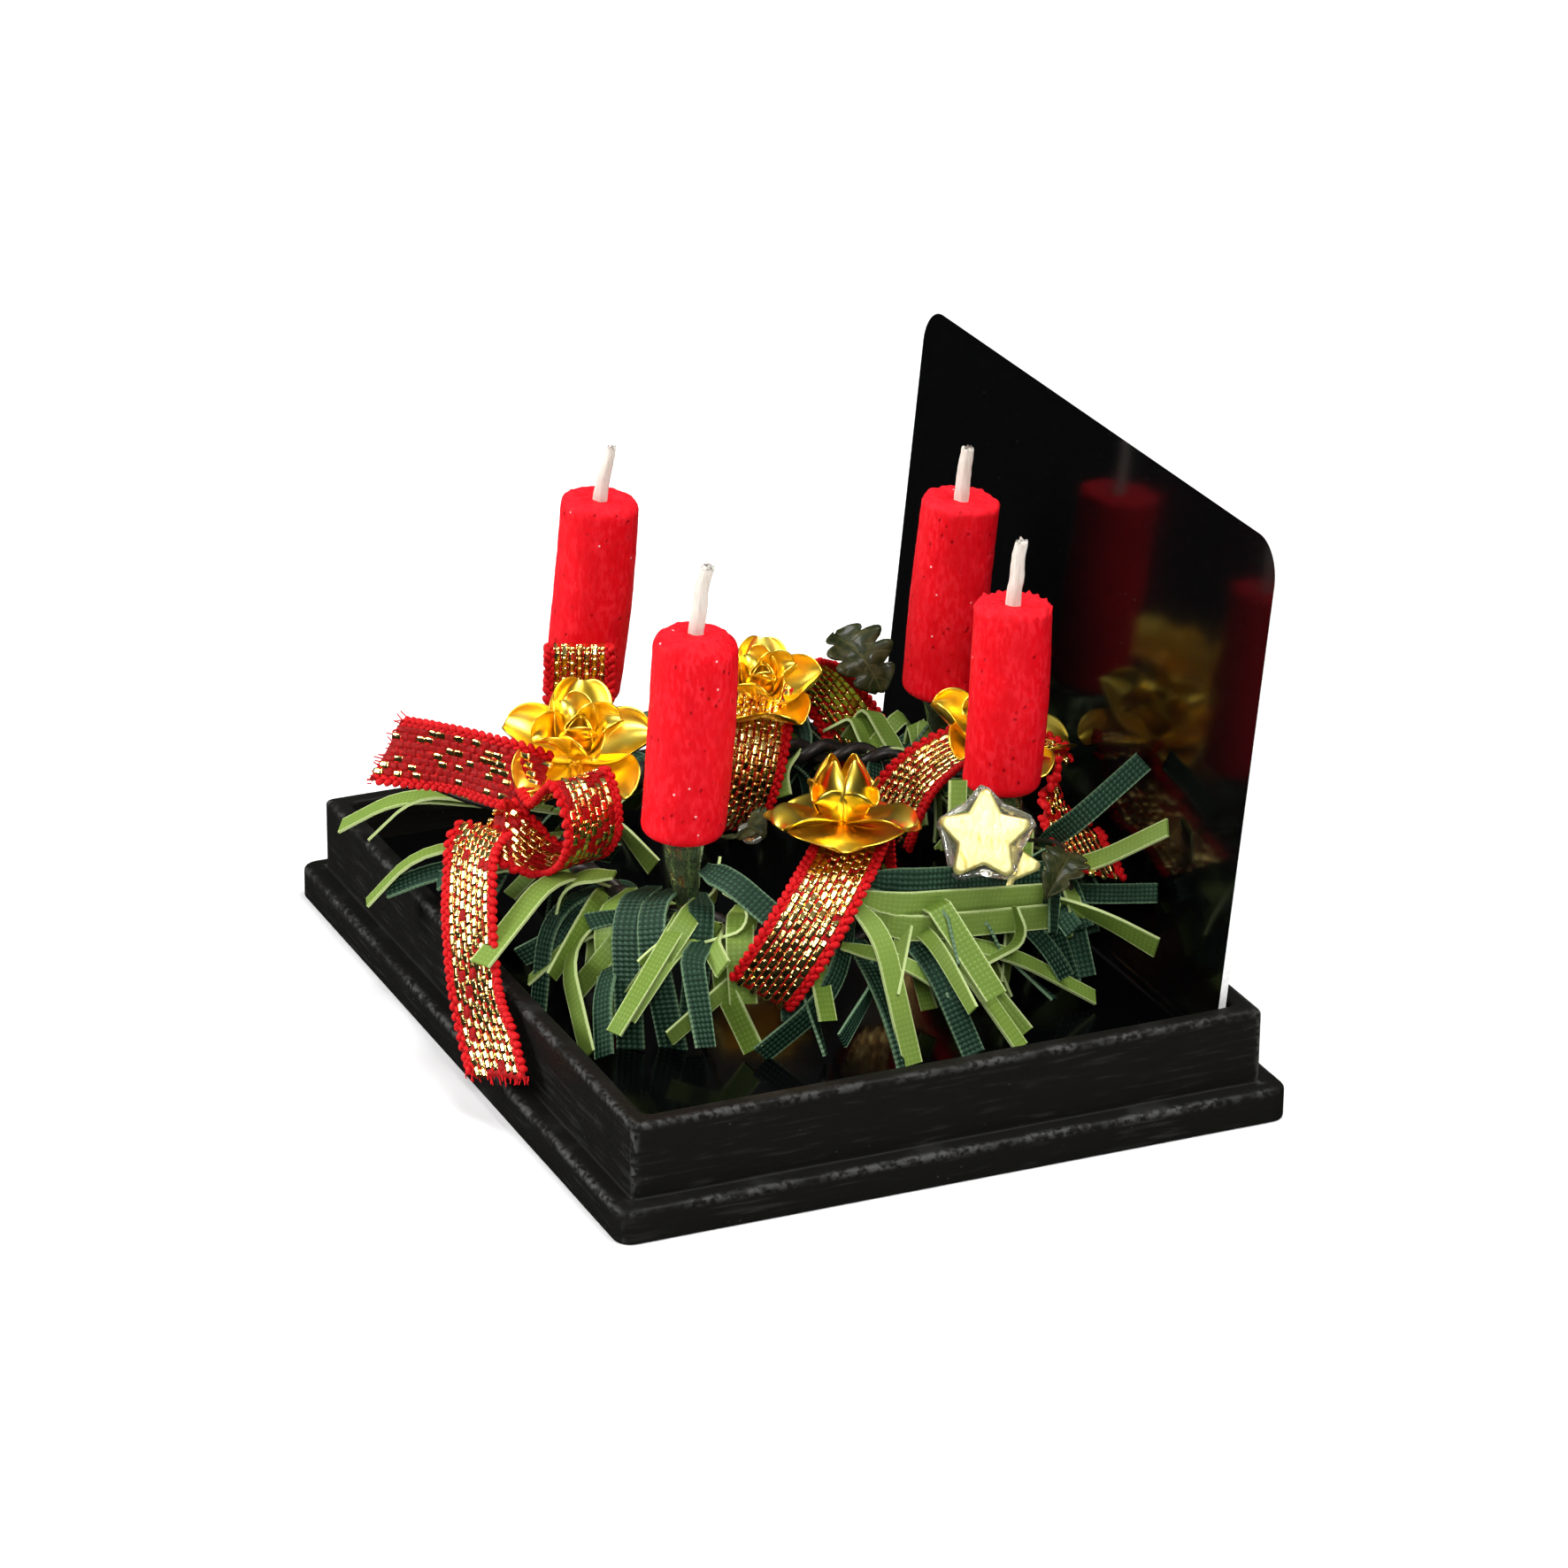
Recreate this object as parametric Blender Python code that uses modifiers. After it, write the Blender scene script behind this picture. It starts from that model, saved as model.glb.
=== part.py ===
"""A miniature advent wreath with four candles, standing in its display tray.

A garland of cut plastic needles on a wire core is bent to a ring. Four wax candles stand on it,
with foil roses, a wound ribbon, a bow, two stars and holly leaves between them. The ring lies
on the foot of a folded card, and the foot lies in the recess of a stepped tray.

Metres, +Z up. The origin is the middle of the tray's underside. +Y points to the upright card.
"""
import math
import random

import bmesh
import bpy
import numpy as np
from mathutils import Matrix, Vector

MM = 0.001
CLEARANCE = 0.3 * MM
FLOAT_MERGE = 0.001 * MM
UP = Vector((0.0, 0.0, 1.0))

# Tray: a flange that carries the clear cover, and a raised wall round the recess
TRAY_X = 40.3 * MM
TRAY_Y = 32.0 * MM
FLANGE_HEIGHT = 1.6 * MM
FLANGE_WIDTH = 1.0 * MM
WALL_THICKNESS = 0.95 * MM
RIM_HEIGHT = 5.1 * MM
FLOOR_HEIGHT = 2.5 * MM
TRAY_CORNER = 0.8 * MM
TRAY_EDGE_ROUND = 0.22 * MM

# Card: one sheet, creased into a foot and a back that leans away from the wreath
CARD_THICKNESS = 0.35 * MM
CARD_HALF_WIDTH = 17.85 * MM
CARD_FACE_HEIGHT = 3.15 * MM
CARD_CREASE_Y = 13.3 * MM
CARD_CREASE_RADIUS = 0.6 * MM
CARD_FOOT_FRONT_Y = -13.7 * MM
CARD_BACK_LENGTH = 23.25 * MM
CARD_LEAN = math.radians(5.55)
CARD_CORNER = 1.8 * MM

# Ring: the middle line of the garland's wire core
RING_CENTRE = Vector((-0.7, 1.5, 0.0)) * MM
RING_RADIUS = 10.5 * MM
RING_HEIGHT = 7.6 * MM
CORE_RADIUS = 0.75 * MM
SECTORS = 8
SECTOR_START = 3.0

# Needles: strips cut square, each with one bend
NEEDLES_PER_SECTOR = 20
NEEDLE_WIDTH = 1.25 * MM
NEEDLE_ROOT_WIDTH = 0.55 * MM
NEEDLE_THICKNESS = 0.6 * MM
NEEDLE_LENGTH = (5.0 * MM, 8.0 * MM)
NEEDLE_SHORTEST = 2.6 * MM
NEEDLE_TRIES = 60
NEEDLE_SEED = 700
HOLE_RADIUS = 4.9 * MM

# Candles, in millimetres: foot, top, radius, the wick's rise and its lean towards x and y
CANDLES = (
    ((-11.2, -5.1, 11.8), (-10.6, -4.3, 21.7), 1.85, 2.55, (0.15, 0.25)),
    ((6.0, -7.2, 12.0), (6.3, -6.7, 21.6), 1.93, 3.05, (0.1, 0.3)),
    ((-4.6, 10.3, 12.0), (-4.2, 11.0, 21.7), 1.85, 2.45, (-0.05, 0.1)),
    ((6.7, 8.0, 12.0), (6.5, 8.5, 20.75), 1.8, 2.85, (0.0, 0.2)),
)
WICK_RADIUS = 0.35 * MM
WICK_WELL = 2.4 * MM
SEAT_RADIUS = 1.0 * MM

# Roses: middle of the underside (millimetres), radius, height, lean towards x and y (degrees)
ROSES = (
    ((-4.4, -7.9, 13.0), 3.3, 2.6, (22.0, 0.0)),
    ((-9.0, 3.9, 12.0), 2.9, 2.6, (22.0, -6.0)),
    ((8.5, -0.6, 12.4), 3.6, 3.1, (-4.0, 2.0)),
    ((1.7, 10.1, 12.75), 3.2, 2.6, (14.0, -6.0)),
)
PETAL_THICKNESS = 0.6 * MM
ROSE_DROP_SHARE = 0.2
ROSE_SEED = 40
STUB_RADII = (0.9 * MM, 0.45 * MM)
STUB_SHARE = 0.62

# Each round of petals: count, its reach from the middle and the petals' half width and cup, all
# as shares of the radius, the rise at root and tip (degrees), the ripple, and the lift as a share
# of the height
PETAL_ROUNDS = (
    (6, 1.0, 0.40, 0.10, (4.0, 22.0), 0.12 * MM, 0.0),
    (4, 0.78, 0.36, 0.12, (28.0, 62.0), 0.0, 0.15),
    (3, 0.64, 0.27, 0.14, (74.0, 98.0), 0.0, 0.22),
)

# Ribbon: bands wound round the garland, each under a rose, and a bow by the first rose
RIBBON_WIDTH = 3.4 * MM
RIBBON_THICKNESS = 0.6 * MM
BAND_REACH = 4.2 * MM
BANDS = ((163.0, 16.0, -38.0), (-12.0, 16.0, -16.0), (74.0, 36.0, 12.0))
BAND_TO = 212.0
BAND_STEPS = 14
KNOT_PLACE = (-3.0, -9.9, 11.3)
KNOT_HALF_SIZE = (1.2, 1.4, 0.6)

STAR_RADIUS = 2.15 * MM
STAR_WAIST = 0.52
STAR_THICKNESS = 0.7 * MM
STAR_GLUE_RADIUS = 1.3 * MM
STAR_GLUE_THICKNESS = 0.5 * MM
STAR_FACING = Vector((0.84, -0.37, 0.39)).normalized()
STAR_PLACE = Vector((11.4, 4.95, 11.95)) * MM
STAR_STEP = (STAR_THICKNESS + STAR_GLUE_THICKNESS) / 2 + CLEARANCE
STAR_SPINS = (4.0, 28.0)
REAR_STAR_DROP = Vector((0.2, 0.5, -1.0)) * MM
STAR_GLUE_DROP = Vector((0.1, 0.2, -0.4)) * MM

# Holly: root, tip and half width (millimetres), and the side that its face turns to
HOLLY_LEAVES = (
    ((-8.1, 8.9, 10.9), (-11.3, 7.9, 12.9), 1.3, (0.5, -0.2, 0.8)),
    ((6.7, -3.7, 11.6), (4.6, -3.6, 10.6), 1.1, (0.4, -0.3, 0.8)),
    ((11.9, 9.0, 10.6), (14.3, 6.6, 9.9), 1.0, (0.5, 0.0, 0.85)),
)
HOLLY_THICKNESS = 0.6 * MM


def millimetres(triple):
    """Turn a triple in millimetres into a vector in metres."""
    return Vector(triple) * MM


def clear_scene():
    """Remove every object that the file opened with."""
    for item in list(bpy.data.objects):
        bpy.data.objects.remove(item, do_unlink=True)


def new_collection(name):
    """Make a collection in the scene."""
    collection = bpy.data.collections.new(name)
    bpy.context.scene.collection.children.link(collection)
    return collection


def make_material(name, colour, roughness, metallic=0.0):
    """Make a Principled material."""
    material = bpy.data.materials.new(name)
    material.use_nodes = True
    shader = material.node_tree.nodes["Principled BSDF"]
    shader.inputs["Base Color"].default_value = (*colour, 1.0)
    shader.inputs["Roughness"].default_value = roughness
    shader.inputs["Metallic"].default_value = metallic
    return material


def add_object(name, mesh, collection, material=None):
    """Add an object for a mesh."""
    item = bpy.data.objects.new(name, mesh)
    collection.objects.link(item)
    if material is not None:
        item.data.materials.clear()
        item.data.materials.append(material)
    return item


def evaluated_mesh(item):
    """Return the object's mesh with its modifiers applied, in world space, caps welded."""
    bpy.context.view_layer.update()
    graph = bpy.context.evaluated_depsgraph_get()
    mesh = bpy.data.meshes.new_from_object(item.evaluated_get(graph))
    mesh.transform(item.matrix_world)
    shape = bmesh.new()
    shape.from_mesh(mesh)
    bmesh.ops.remove_doubles(shape, verts=shape.verts, dist=FLOAT_MERGE)
    shape.to_mesh(mesh)
    shape.free()
    return mesh


def bake(item, collection, material=None):
    """Replace an object by a plain mesh of what it evaluates to."""
    name = item.name
    mesh = evaluated_mesh(item)
    bpy.data.objects.remove(item, do_unlink=True)
    mesh.name = name
    return add_object(name, mesh, collection, material)


def keep_largest_shell(mesh):
    """Keep the mesh's largest shell, so sealed hollows and loose scraps go."""
    shape = bmesh.new()
    shape.from_mesh(mesh)
    unseen = set(shape.verts)
    shells = []
    while unseen:
        stack = [unseen.pop()]
        shell = set(stack)
        while stack:
            for edge in stack.pop().link_edges:
                for vert in edge.verts:
                    if vert in unseen:
                        unseen.discard(vert)
                        shell.add(vert)
                        stack.append(vert)
        shells.append(shell)
    largest = max(shells, key=len)
    scraps = [vert for shell in shells if shell is not largest for vert in shell]
    bmesh.ops.delete(shape, geom=scraps, context="VERTS")
    bmesh.ops.triangulate(shape, faces=shape.faces)
    bmesh.ops.dissolve_degenerate(shape, dist=FLOAT_MERGE, edges=shape.edges)
    shape.to_mesh(mesh)
    shape.free()


def is_closed(mesh):
    """Say whether every edge of a mesh has two faces."""
    shape = bmesh.new()
    shape.from_mesh(mesh)
    closed = all(edge.is_manifold for edge in shape.edges)
    shape.free()
    return closed


def fuse(name, pieces, collection, cutters, material):
    """Join pieces into one closed body with a Boolean union on a collection."""
    base, others = pieces[0], pieces[1:]
    helper = bpy.data.collections.new(name + "_pieces")
    cutters.children.link(helper)
    for piece in others:
        for owner in list(piece.users_collection):
            owner.objects.unlink(piece)
        helper.objects.link(piece)
    union = base.modifiers.new("Union", "BOOLEAN")
    union.operation = "UNION"
    union.operand_type = "COLLECTION"
    union.collection = helper
    for solver in ("EXACT", "MANIFOLD"):
        union.solver = solver
        mesh = evaluated_mesh(base)
        keep_largest_shell(mesh)
        if is_closed(mesh):
            break
    for piece in pieces:
        bpy.data.objects.remove(piece, do_unlink=True)
    bpy.data.collections.remove(helper)
    mesh.name = name
    return add_object(name, mesh, collection, material)


def surface_solid(name, rows, thickness, collection, material=None):
    """Make an open surface from rows of points and give it a wall centred on the surface."""
    shape = bmesh.new()
    grid = [[shape.verts.new(point) for point in row] for row in rows]
    for lower, upper in zip(grid, grid[1:]):
        for index in range(len(lower) - 1):
            shape.faces.new((lower[index], lower[index + 1], upper[index + 1], upper[index]))
    bmesh.ops.triangulate(shape, faces=shape.faces, quad_method="FIXED")
    mesh = bpy.data.meshes.new(name)
    shape.to_mesh(mesh)
    shape.free()
    item = add_object(name, mesh, collection, material)
    wall = item.modifiers.new("Wall", "SOLIDIFY")
    wall.thickness = thickness
    wall.offset = 0.0
    return bake(item, collection, material)


def smooth_route(points, steps):
    """Return points on a smooth curve through the given vectors, steps to each span."""
    padded = [2 * points[0] - points[1], *points, 2 * points[-1] - points[-2]]
    route = []
    for before, start, end, after in zip(padded, padded[1:], padded[2:], padded[3:]):
        for step in range(steps):
            part = step / steps
            route.append(0.5 * (
                2 * start
                + (end - before) * part
                + (2 * before - 5 * start + 4 * end - after) * part ** 2
                + (3 * start - before - 3 * end + after) * part ** 3
            ))
    route.append(points[-1].copy())
    return route


def strip_frames(route, across):
    """Return (middle, width direction, normal) along a route, with the width kept square to it."""
    frames = []
    for index, middle in enumerate(route):
        ahead = route[min(index + 1, len(route) - 1)]
        behind = route[max(index - 1, 0)]
        along = (ahead - behind).normalized()
        width = across[index] - along * across[index].dot(along)
        width.normalize()
        frames.append((middle, width, along.cross(width)))
    return frames


def strip_rows(frames, width, root_width=None):
    """Return rows of points for a strip of the given width, pinched at its root if that is given."""
    widths = [width if root_width is None else root_width] + [width] * (len(frames) - 1)
    return [
        (middle - side * across / 2, middle + side * across / 2)
        for (middle, side, _), across in zip(frames, widths)
    ]


def ring_point(around, tilt, reach):
    """Return the point at an angle round the ring, and at an angle and distance from its core."""
    radius = RING_RADIUS + reach * math.cos(math.radians(tilt))
    turn = math.radians(around)
    rise = reach * math.sin(math.radians(tilt))
    return RING_CENTRE + Vector((radius * math.cos(turn), radius * math.sin(turn), RING_HEIGHT + rise))


class Keepout:
    """The space that a piece takes, which needles bend clear of."""

    def __init__(self):
        self.rods = []
        self.slabs = []

    def add_rod(self, start, end, radius):
        """Add a round rod with round ends."""
        self.rods.append((np.array(start), np.array(end), radius))

    def add_slabs(self, frames, half_width, half_thickness):
        """Add a flat box round each frame of a strip."""
        for index, (middle, side, normal) in enumerate(frames):
            neighbour = frames[index + 1][0] if index + 1 < len(frames) else frames[index - 1][0]
            half_step = (neighbour - middle).length / 2 + NEEDLE_WIDTH / 2
            axes = np.array((side, normal, side.cross(normal)))
            size = np.array((half_width, half_thickness, half_step))
            self.slabs.append((np.array(middle), axes, size))

    def freeze(self):
        """Stack the slabs into arrays."""
        self.middles = np.array([slab[0] for slab in self.slabs])
        self.axes = np.array([slab[1] for slab in self.slabs])
        self.sizes = np.array([slab[2] for slab in self.slabs])

    def hits(self, point, margin):
        """Say whether a point is nearer than the margin to any piece."""
        spot = np.array(point)
        for start, end, radius in self.rods:
            line = end - start
            part = np.clip((spot - start) @ line / (line @ line), 0.0, 1.0)
            if np.linalg.norm(spot - start - line * part) < radius + margin:
                return True
        local = np.einsum("nij,nj->ni", self.axes, spot - self.middles)
        return bool(np.any(np.all(np.abs(local) < self.sizes + margin, axis=1)))


def rounded_block(name, size_x, size_y, low, high, corner, collection):
    """Make a block with rounded upright edges between two heights."""
    shape = bmesh.new()
    bmesh.ops.create_cube(shape, size=1.0)
    place = Matrix.Translation((0.0, 0.0, (low + high) / 2))
    size = Matrix.Diagonal((size_x, size_y, high - low, 1.0))
    bmesh.ops.transform(shape, matrix=place @ size, verts=shape.verts)
    upright = [e for e in shape.edges if abs(e.verts[0].co.z - e.verts[1].co.z) > FLOAT_MERGE]
    bmesh.ops.bevel(shape, geom=upright, offset=corner, segments=3, affect="EDGES", profile=0.5)
    mesh = bpy.data.meshes.new(name)
    shape.to_mesh(mesh)
    shape.free()
    return add_object(name, mesh, collection)


def build_tray(collection, cutters, material):
    """Build the moulded tray."""
    wall_x, wall_y = TRAY_X - 2 * FLANGE_WIDTH, TRAY_Y - 2 * FLANGE_WIDTH
    inner_x, inner_y = wall_x - 2 * WALL_THICKNESS, wall_y - 2 * WALL_THICKNESS
    flange = rounded_block("tray", TRAY_X, TRAY_Y, 0.0, FLANGE_HEIGHT, TRAY_CORNER, collection)
    wall = rounded_block("wall", wall_x, wall_y, CLEARANCE, RIM_HEIGHT, TRAY_CORNER, cutters)
    recess = rounded_block(
        "recess", inner_x, inner_y, FLOOR_HEIGHT, 2 * RIM_HEIGHT, TRAY_CORNER / 2, cutters
    )
    for helper, operation in ((wall, "UNION"), (recess, "DIFFERENCE")):
        helper.hide_render = True
        helper.display_type = "WIRE"
        cut = flange.modifiers.new(helper.name, "BOOLEAN")
        cut.operation = operation
        cut.object = helper
    edges = flange.modifiers.new("Edges", "BEVEL")
    edges.width = TRAY_EDGE_ROUND
    edges.segments = 1
    edges.limit_method = "ANGLE"
    edges.angle_limit = math.radians(60)
    flange.data.materials.append(material)
    return flange


def card_section():
    """Return the card's (y, z, half width) from the foot's front edge to the top of the back."""
    section = [(CARD_FOOT_FRONT_Y, CARD_FACE_HEIGHT, CARD_HALF_WIDTH)]
    bend = math.pi / 2 - CARD_LEAN
    setback = CARD_CREASE_RADIUS * math.tan(bend / 2)
    middle_y = CARD_CREASE_Y - setback
    middle_z = CARD_FACE_HEIGHT + CARD_CREASE_RADIUS
    for step in range(4):
        turn = bend * step / 3
        section.append((
            middle_y + CARD_CREASE_RADIUS * math.sin(turn),
            middle_z - CARD_CREASE_RADIUS * math.cos(turn),
            CARD_HALF_WIDTH,
        ))
    for step in range(5):
        turn = math.pi / 2 * step / 4
        along = CARD_BACK_LENGTH - CARD_CORNER + CARD_CORNER * math.sin(turn)
        half_width = CARD_HALF_WIDTH - CARD_CORNER + CARD_CORNER * math.cos(turn)
        section.append((
            CARD_CREASE_Y + along * math.sin(CARD_LEAN),
            CARD_FACE_HEIGHT + along * math.cos(CARD_LEAN),
            half_width,
        ))
    return section


def build_card(collection, material):
    """Build the folded card, its printed face on the measured plane."""
    rows = [(Vector((-half, y, z)), Vector((half, y, z))) for y, z, half in card_section()]
    shape = bmesh.new()
    grid = [[shape.verts.new(point) for point in row] for row in rows]
    for lower, upper in zip(grid, grid[1:]):
        shape.faces.new((lower[0], lower[1], upper[1], upper[0]))
    mesh = bpy.data.meshes.new("card")
    shape.to_mesh(mesh)
    shape.free()
    card = add_object("card", mesh, collection, material)
    wall = card.modifiers.new("Sheet", "SOLIDIFY")
    wall.thickness = CARD_THICKNESS
    wall.offset = -1.0
    return card


def upright_frame(start, end):
    """Return the turn that stands +Z on the line from start to end."""
    return (end - start).to_track_quat("Z", "Y")


def build_candle(number, foot, top, radius, collection, material):
    """Build a candle: a turned body with soft shoulders and a well for its wick."""
    height = (top - foot).length
    well = WICK_RADIUS + CLEARANCE
    profile = (
        (0.0, height - WICK_WELL),
        (well, height - WICK_WELL),
        (well, height - 0.05 * MM),
        (radius * 0.72, height),
        (radius * 0.93, height - 0.35 * MM),
        (radius * 0.98, height - 1.2 * MM),
        (radius, height * 0.4),
        (radius * 0.97, 0.5 * MM),
        (radius * 0.8, 0.0),
        (0.0, 0.0),
    )
    mesh = bpy.data.meshes.new(f"candle_{number}")
    points = [(distance, 0.0, rise) for distance, rise in profile]
    mesh.from_pydata(points, [(i, i + 1) for i in range(len(points) - 1)], [])
    candle = add_object(f"candle_{number}", mesh, collection, material)
    turned = candle.modifiers.new("Turned", "SCREW")
    turned.steps = 14
    turned.render_steps = 14
    turned.use_merge_vertices = True
    turned.merge_threshold = FLOAT_MERGE
    candle.location = foot
    candle.rotation_mode = "QUATERNION"
    candle.rotation_quaternion = upright_frame(foot, top)
    return candle


def build_wick(number, foot, top, rise, lean, collection, material):
    """Build a wick that stands in the candle's well and leans a little at its tip."""
    along = (top - foot).normalized()
    root = top - along * (WICK_WELL - CLEARANCE)
    tip = top + along * rise + Vector((*lean, 0.0)) * MM
    curve = bpy.data.curves.new(f"wick_{number}", "CURVE")
    curve.dimensions = "3D"
    curve.bevel_depth = WICK_RADIUS
    curve.bevel_resolution = 1
    curve.use_fill_caps = True
    spline = curve.splines.new("POLY")
    route = (root, top, top.lerp(tip, 0.5) + along * 0.05 * MM, tip)
    spline.points.add(len(route) - 1)
    for point, place in zip(spline.points, route):
        point.co = (*place, 1.0)
    return add_object(f"wick_{number}", curve, collection, material)


def build_seat(number, foot, collection, material):
    """Build the bead of glue that holds a candle on the garland's core."""
    around = math.atan2(foot.y - RING_CENTRE.y, foot.x - RING_CENTRE.x)
    core = RING_CENTRE + Vector((
        RING_RADIUS * math.cos(around), RING_RADIUS * math.sin(around), RING_HEIGHT
    ))
    low = core.z + CORE_RADIUS + CLEARANCE
    high = foot.z - CLEARANCE
    shape = bmesh.new()
    bmesh.ops.create_cone(
        shape, cap_ends=True, segments=8, radius1=SEAT_RADIUS * 0.7, radius2=SEAT_RADIUS, depth=1.0
    )
    for vert in shape.verts:
        part = vert.co.z + 0.5
        middle = core.lerp(foot, part)
        vert.co = Vector((vert.co.x + middle.x, vert.co.y + middle.y, low + (high - low) * part))
    mesh = bpy.data.meshes.new(f"glue_seat_{number}")
    shape.to_mesh(mesh)
    shape.free()
    return add_object(f"glue_seat_{number}", mesh, collection, material)


def petal_rows(reach, rise_start, rise_end, half_width, cup, ripple):
    """Return rows of points for a petal that leaves the middle along +X and bends upwards."""
    rows = []
    shares = (0.35, 0.85, 1.0, 0.42) if ripple else (0.35, 1.0, 0.42)
    steps = len(shares) - 1
    spot = Vector((0.25 * MM, 0.0, 0.0))
    for step in range(steps + 1):
        part = step / steps
        rise = math.radians(rise_start + (rise_end - rise_start) * part)
        if step:
            spot = spot + Vector((math.cos(rise), 0.0, math.sin(rise))) * reach / steps
        spread = half_width * shares[step]
        lift = Vector((-math.sin(rise), 0.0, math.cos(rise)))
        wave = ripple * math.sin(2.2 * math.pi * part)
        rows.append([
            spot + Vector((0.0, -spread, 0.0)) + lift * (cup * part + wave),
            spot,
            spot + Vector((0.0, spread, 0.0)) + lift * (cup * part - wave),
        ])
    return rows


def build_rose(number, place, radius, height, lean, collection, cutters, material):
    """Build a foil rose: three rounds of petals round a short stub."""
    draw = random.Random(ROSE_SEED + number)
    stub_height = height * STUB_SHARE
    shape = bmesh.new()
    bmesh.ops.create_cone(
        shape, cap_ends=True, segments=8, radius1=STUB_RADII[0], radius2=STUB_RADII[1],
        depth=stub_height,
    )
    bmesh.ops.translate(shape, verts=shape.verts, vec=(0.0, 0.0, stub_height / 2))
    mesh = bpy.data.meshes.new("stub")
    shape.to_mesh(mesh)
    shape.free()
    pieces = [add_object("stub", mesh, cutters)]
    for layer, (count, reach, half, cup, (start, end), ripple, lift) in enumerate(PETAL_ROUNDS):
        for index in range(count):
            turn = 360.0 * index / count + 25.0 * layer + draw.uniform(-7.0, 7.0)
            sweep = start + draw.uniform(-3.0, 5.0)
            length = radius * reach * draw.uniform(0.92, 1.0)
            rows = petal_rows(length, sweep, end, radius * half, radius * cup, ripple)
            spin = Matrix.Rotation(math.radians(turn), 4, "Z")
            rise = UP * (height * lift + PETAL_THICKNESS * 0.55)
            placed = [[spin @ point + rise for point in row] for row in rows]
            pieces.append(surface_solid("petal", placed, PETAL_THICKNESS, cutters))
    rose = fuse(f"rose_{number}", pieces, collection, cutters, material)
    tilt = Matrix.Rotation(math.radians(lean[0]), 4, "Y") @ Matrix.Rotation(
        math.radians(-lean[1]), 4, "X"
    )
    rose.matrix_world = Matrix.Translation(place) @ tilt
    return rose


def card_plane_y(height):
    """Return where the card's face stands at a height."""
    return CARD_CREASE_Y + (height - CARD_FACE_HEIGHT) * math.tan(CARD_LEAN)


def band_frames(around, skew, first_tilt):
    """Return the frames of a ribbon band wound over the garland, pressed flat by the card."""
    route, across = [], []
    for step in range(BAND_STEPS + 1):
        tilt = first_tilt + (BAND_TO - first_tilt) * step / BAND_STEPS
        turn = around + skew * (tilt - 90.0) / 90.0
        tangent = math.radians(turn + 90.0)
        side = Vector((math.cos(tangent), math.sin(tangent), 0.0))
        reach = BAND_REACH
        middle = ring_point(turn, tilt, reach)
        edge = abs(side.y) * RIBBON_WIDTH / 2 + RIBBON_THICKNESS + 2 * CLEARANCE
        while middle.y + edge > card_plane_y(middle.z):
            reach -= 0.1 * MM
            middle = ring_point(turn, tilt, reach)
        route.append(middle)
        across.append(side)
    return strip_frames(route, across)


def bow_strips():
    """Return the frames of the bow's four strips: two tails, the curl and the loop."""
    curl_side = (-0.28, 0.96, 0.0)
    tail_side = (0.87, 0.42, 0.26)
    loop_side = (0.40, 0.91, 0.0)
    strips = (
        (
            (-10.5, -15.2, 11.2), (-7.4, -13.2, 11.6), (-4.4, -11.7, 11.7), (-2.8, -10.4, 11.4),
        ), (
            (0.10, 0.45, 0.89), (0.0, 0.1, 1.0), (0.1, 0.4, 0.85), (0.1, 0.8, 0.5),
        ),
        (
            (-3.0, -9.9, 11.3), (-1.2, -10.2, 11.5), (0.2, -10.3, 12.6), (1.6, -10.3, 13.4),
            (2.9, -10.3, 12.6), (3.2, -10.3, 11.2), (2.2, -10.5, 9.7), (0.6, -11.0, 9.0),
            (-0.8, -12.2, 9.5),
        ), (curl_side,) * 9,
        (
            (-0.2, -11.9, 9.4), (-1.4, -13.4, 10.4), (-0.2, -14.7, 9.8), (1.6, -15.6, 8.2),
            (3.2, -16.1, 6.3), (4.3, -16.3, 4.8), (5.3, -16.35, 3.8), (6.4, -16.35, 3.1),
        ), (curl_side, (0.3, 0.9, 0.1)) + (tail_side,) * 6,
        (
            (-3.2, -9.4, 11.3), (-5.6, -7.8, 11.3), (-7.6, -6.7, 11.8), (-8.4, -6.3, 13.2),
            (-8.5, -6.2, 15.2),
        ), (loop_side,) * 5,
    )
    frames = []
    for points, sides in zip(strips[::2], strips[1::2]):
        route = smooth_route([millimetres(point) for point in points], 2)
        across = smooth_route([Vector(side) for side in sides], 2)
        frames.append(strip_frames(route, across))
    return frames


def build_bow(strips, collection, cutters, material):
    """Build the bow as one body, its strips held by a knot under the first rose."""
    shape = bmesh.new()
    bmesh.ops.create_uvsphere(shape, u_segments=8, v_segments=5, radius=MM)
    flatten = Matrix.Diagonal((*KNOT_HALF_SIZE, 1.0))
    place = Matrix.Translation(millimetres(KNOT_PLACE))
    bmesh.ops.transform(shape, matrix=place @ flatten, verts=shape.verts)
    mesh = bpy.data.meshes.new("knot")
    shape.to_mesh(mesh)
    shape.free()
    pieces = [add_object("knot", mesh, cutters)]
    for frames in strips:
        rows = strip_rows(frames, RIBBON_WIDTH)
        pieces.append(surface_solid("strip", rows, RIBBON_THICKNESS, cutters))
    return fuse("bow", pieces, collection, cutters, material)


def star_outline(radius):
    """Return the corners of a five-pointed star."""
    corners = []
    for index in range(10):
        reach = radius * (STAR_WAIST if index % 2 else 1.0)
        turn = math.radians(90 + 36 * index)
        corners.append((reach * math.cos(turn), reach * math.sin(turn)))
    return corners


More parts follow.
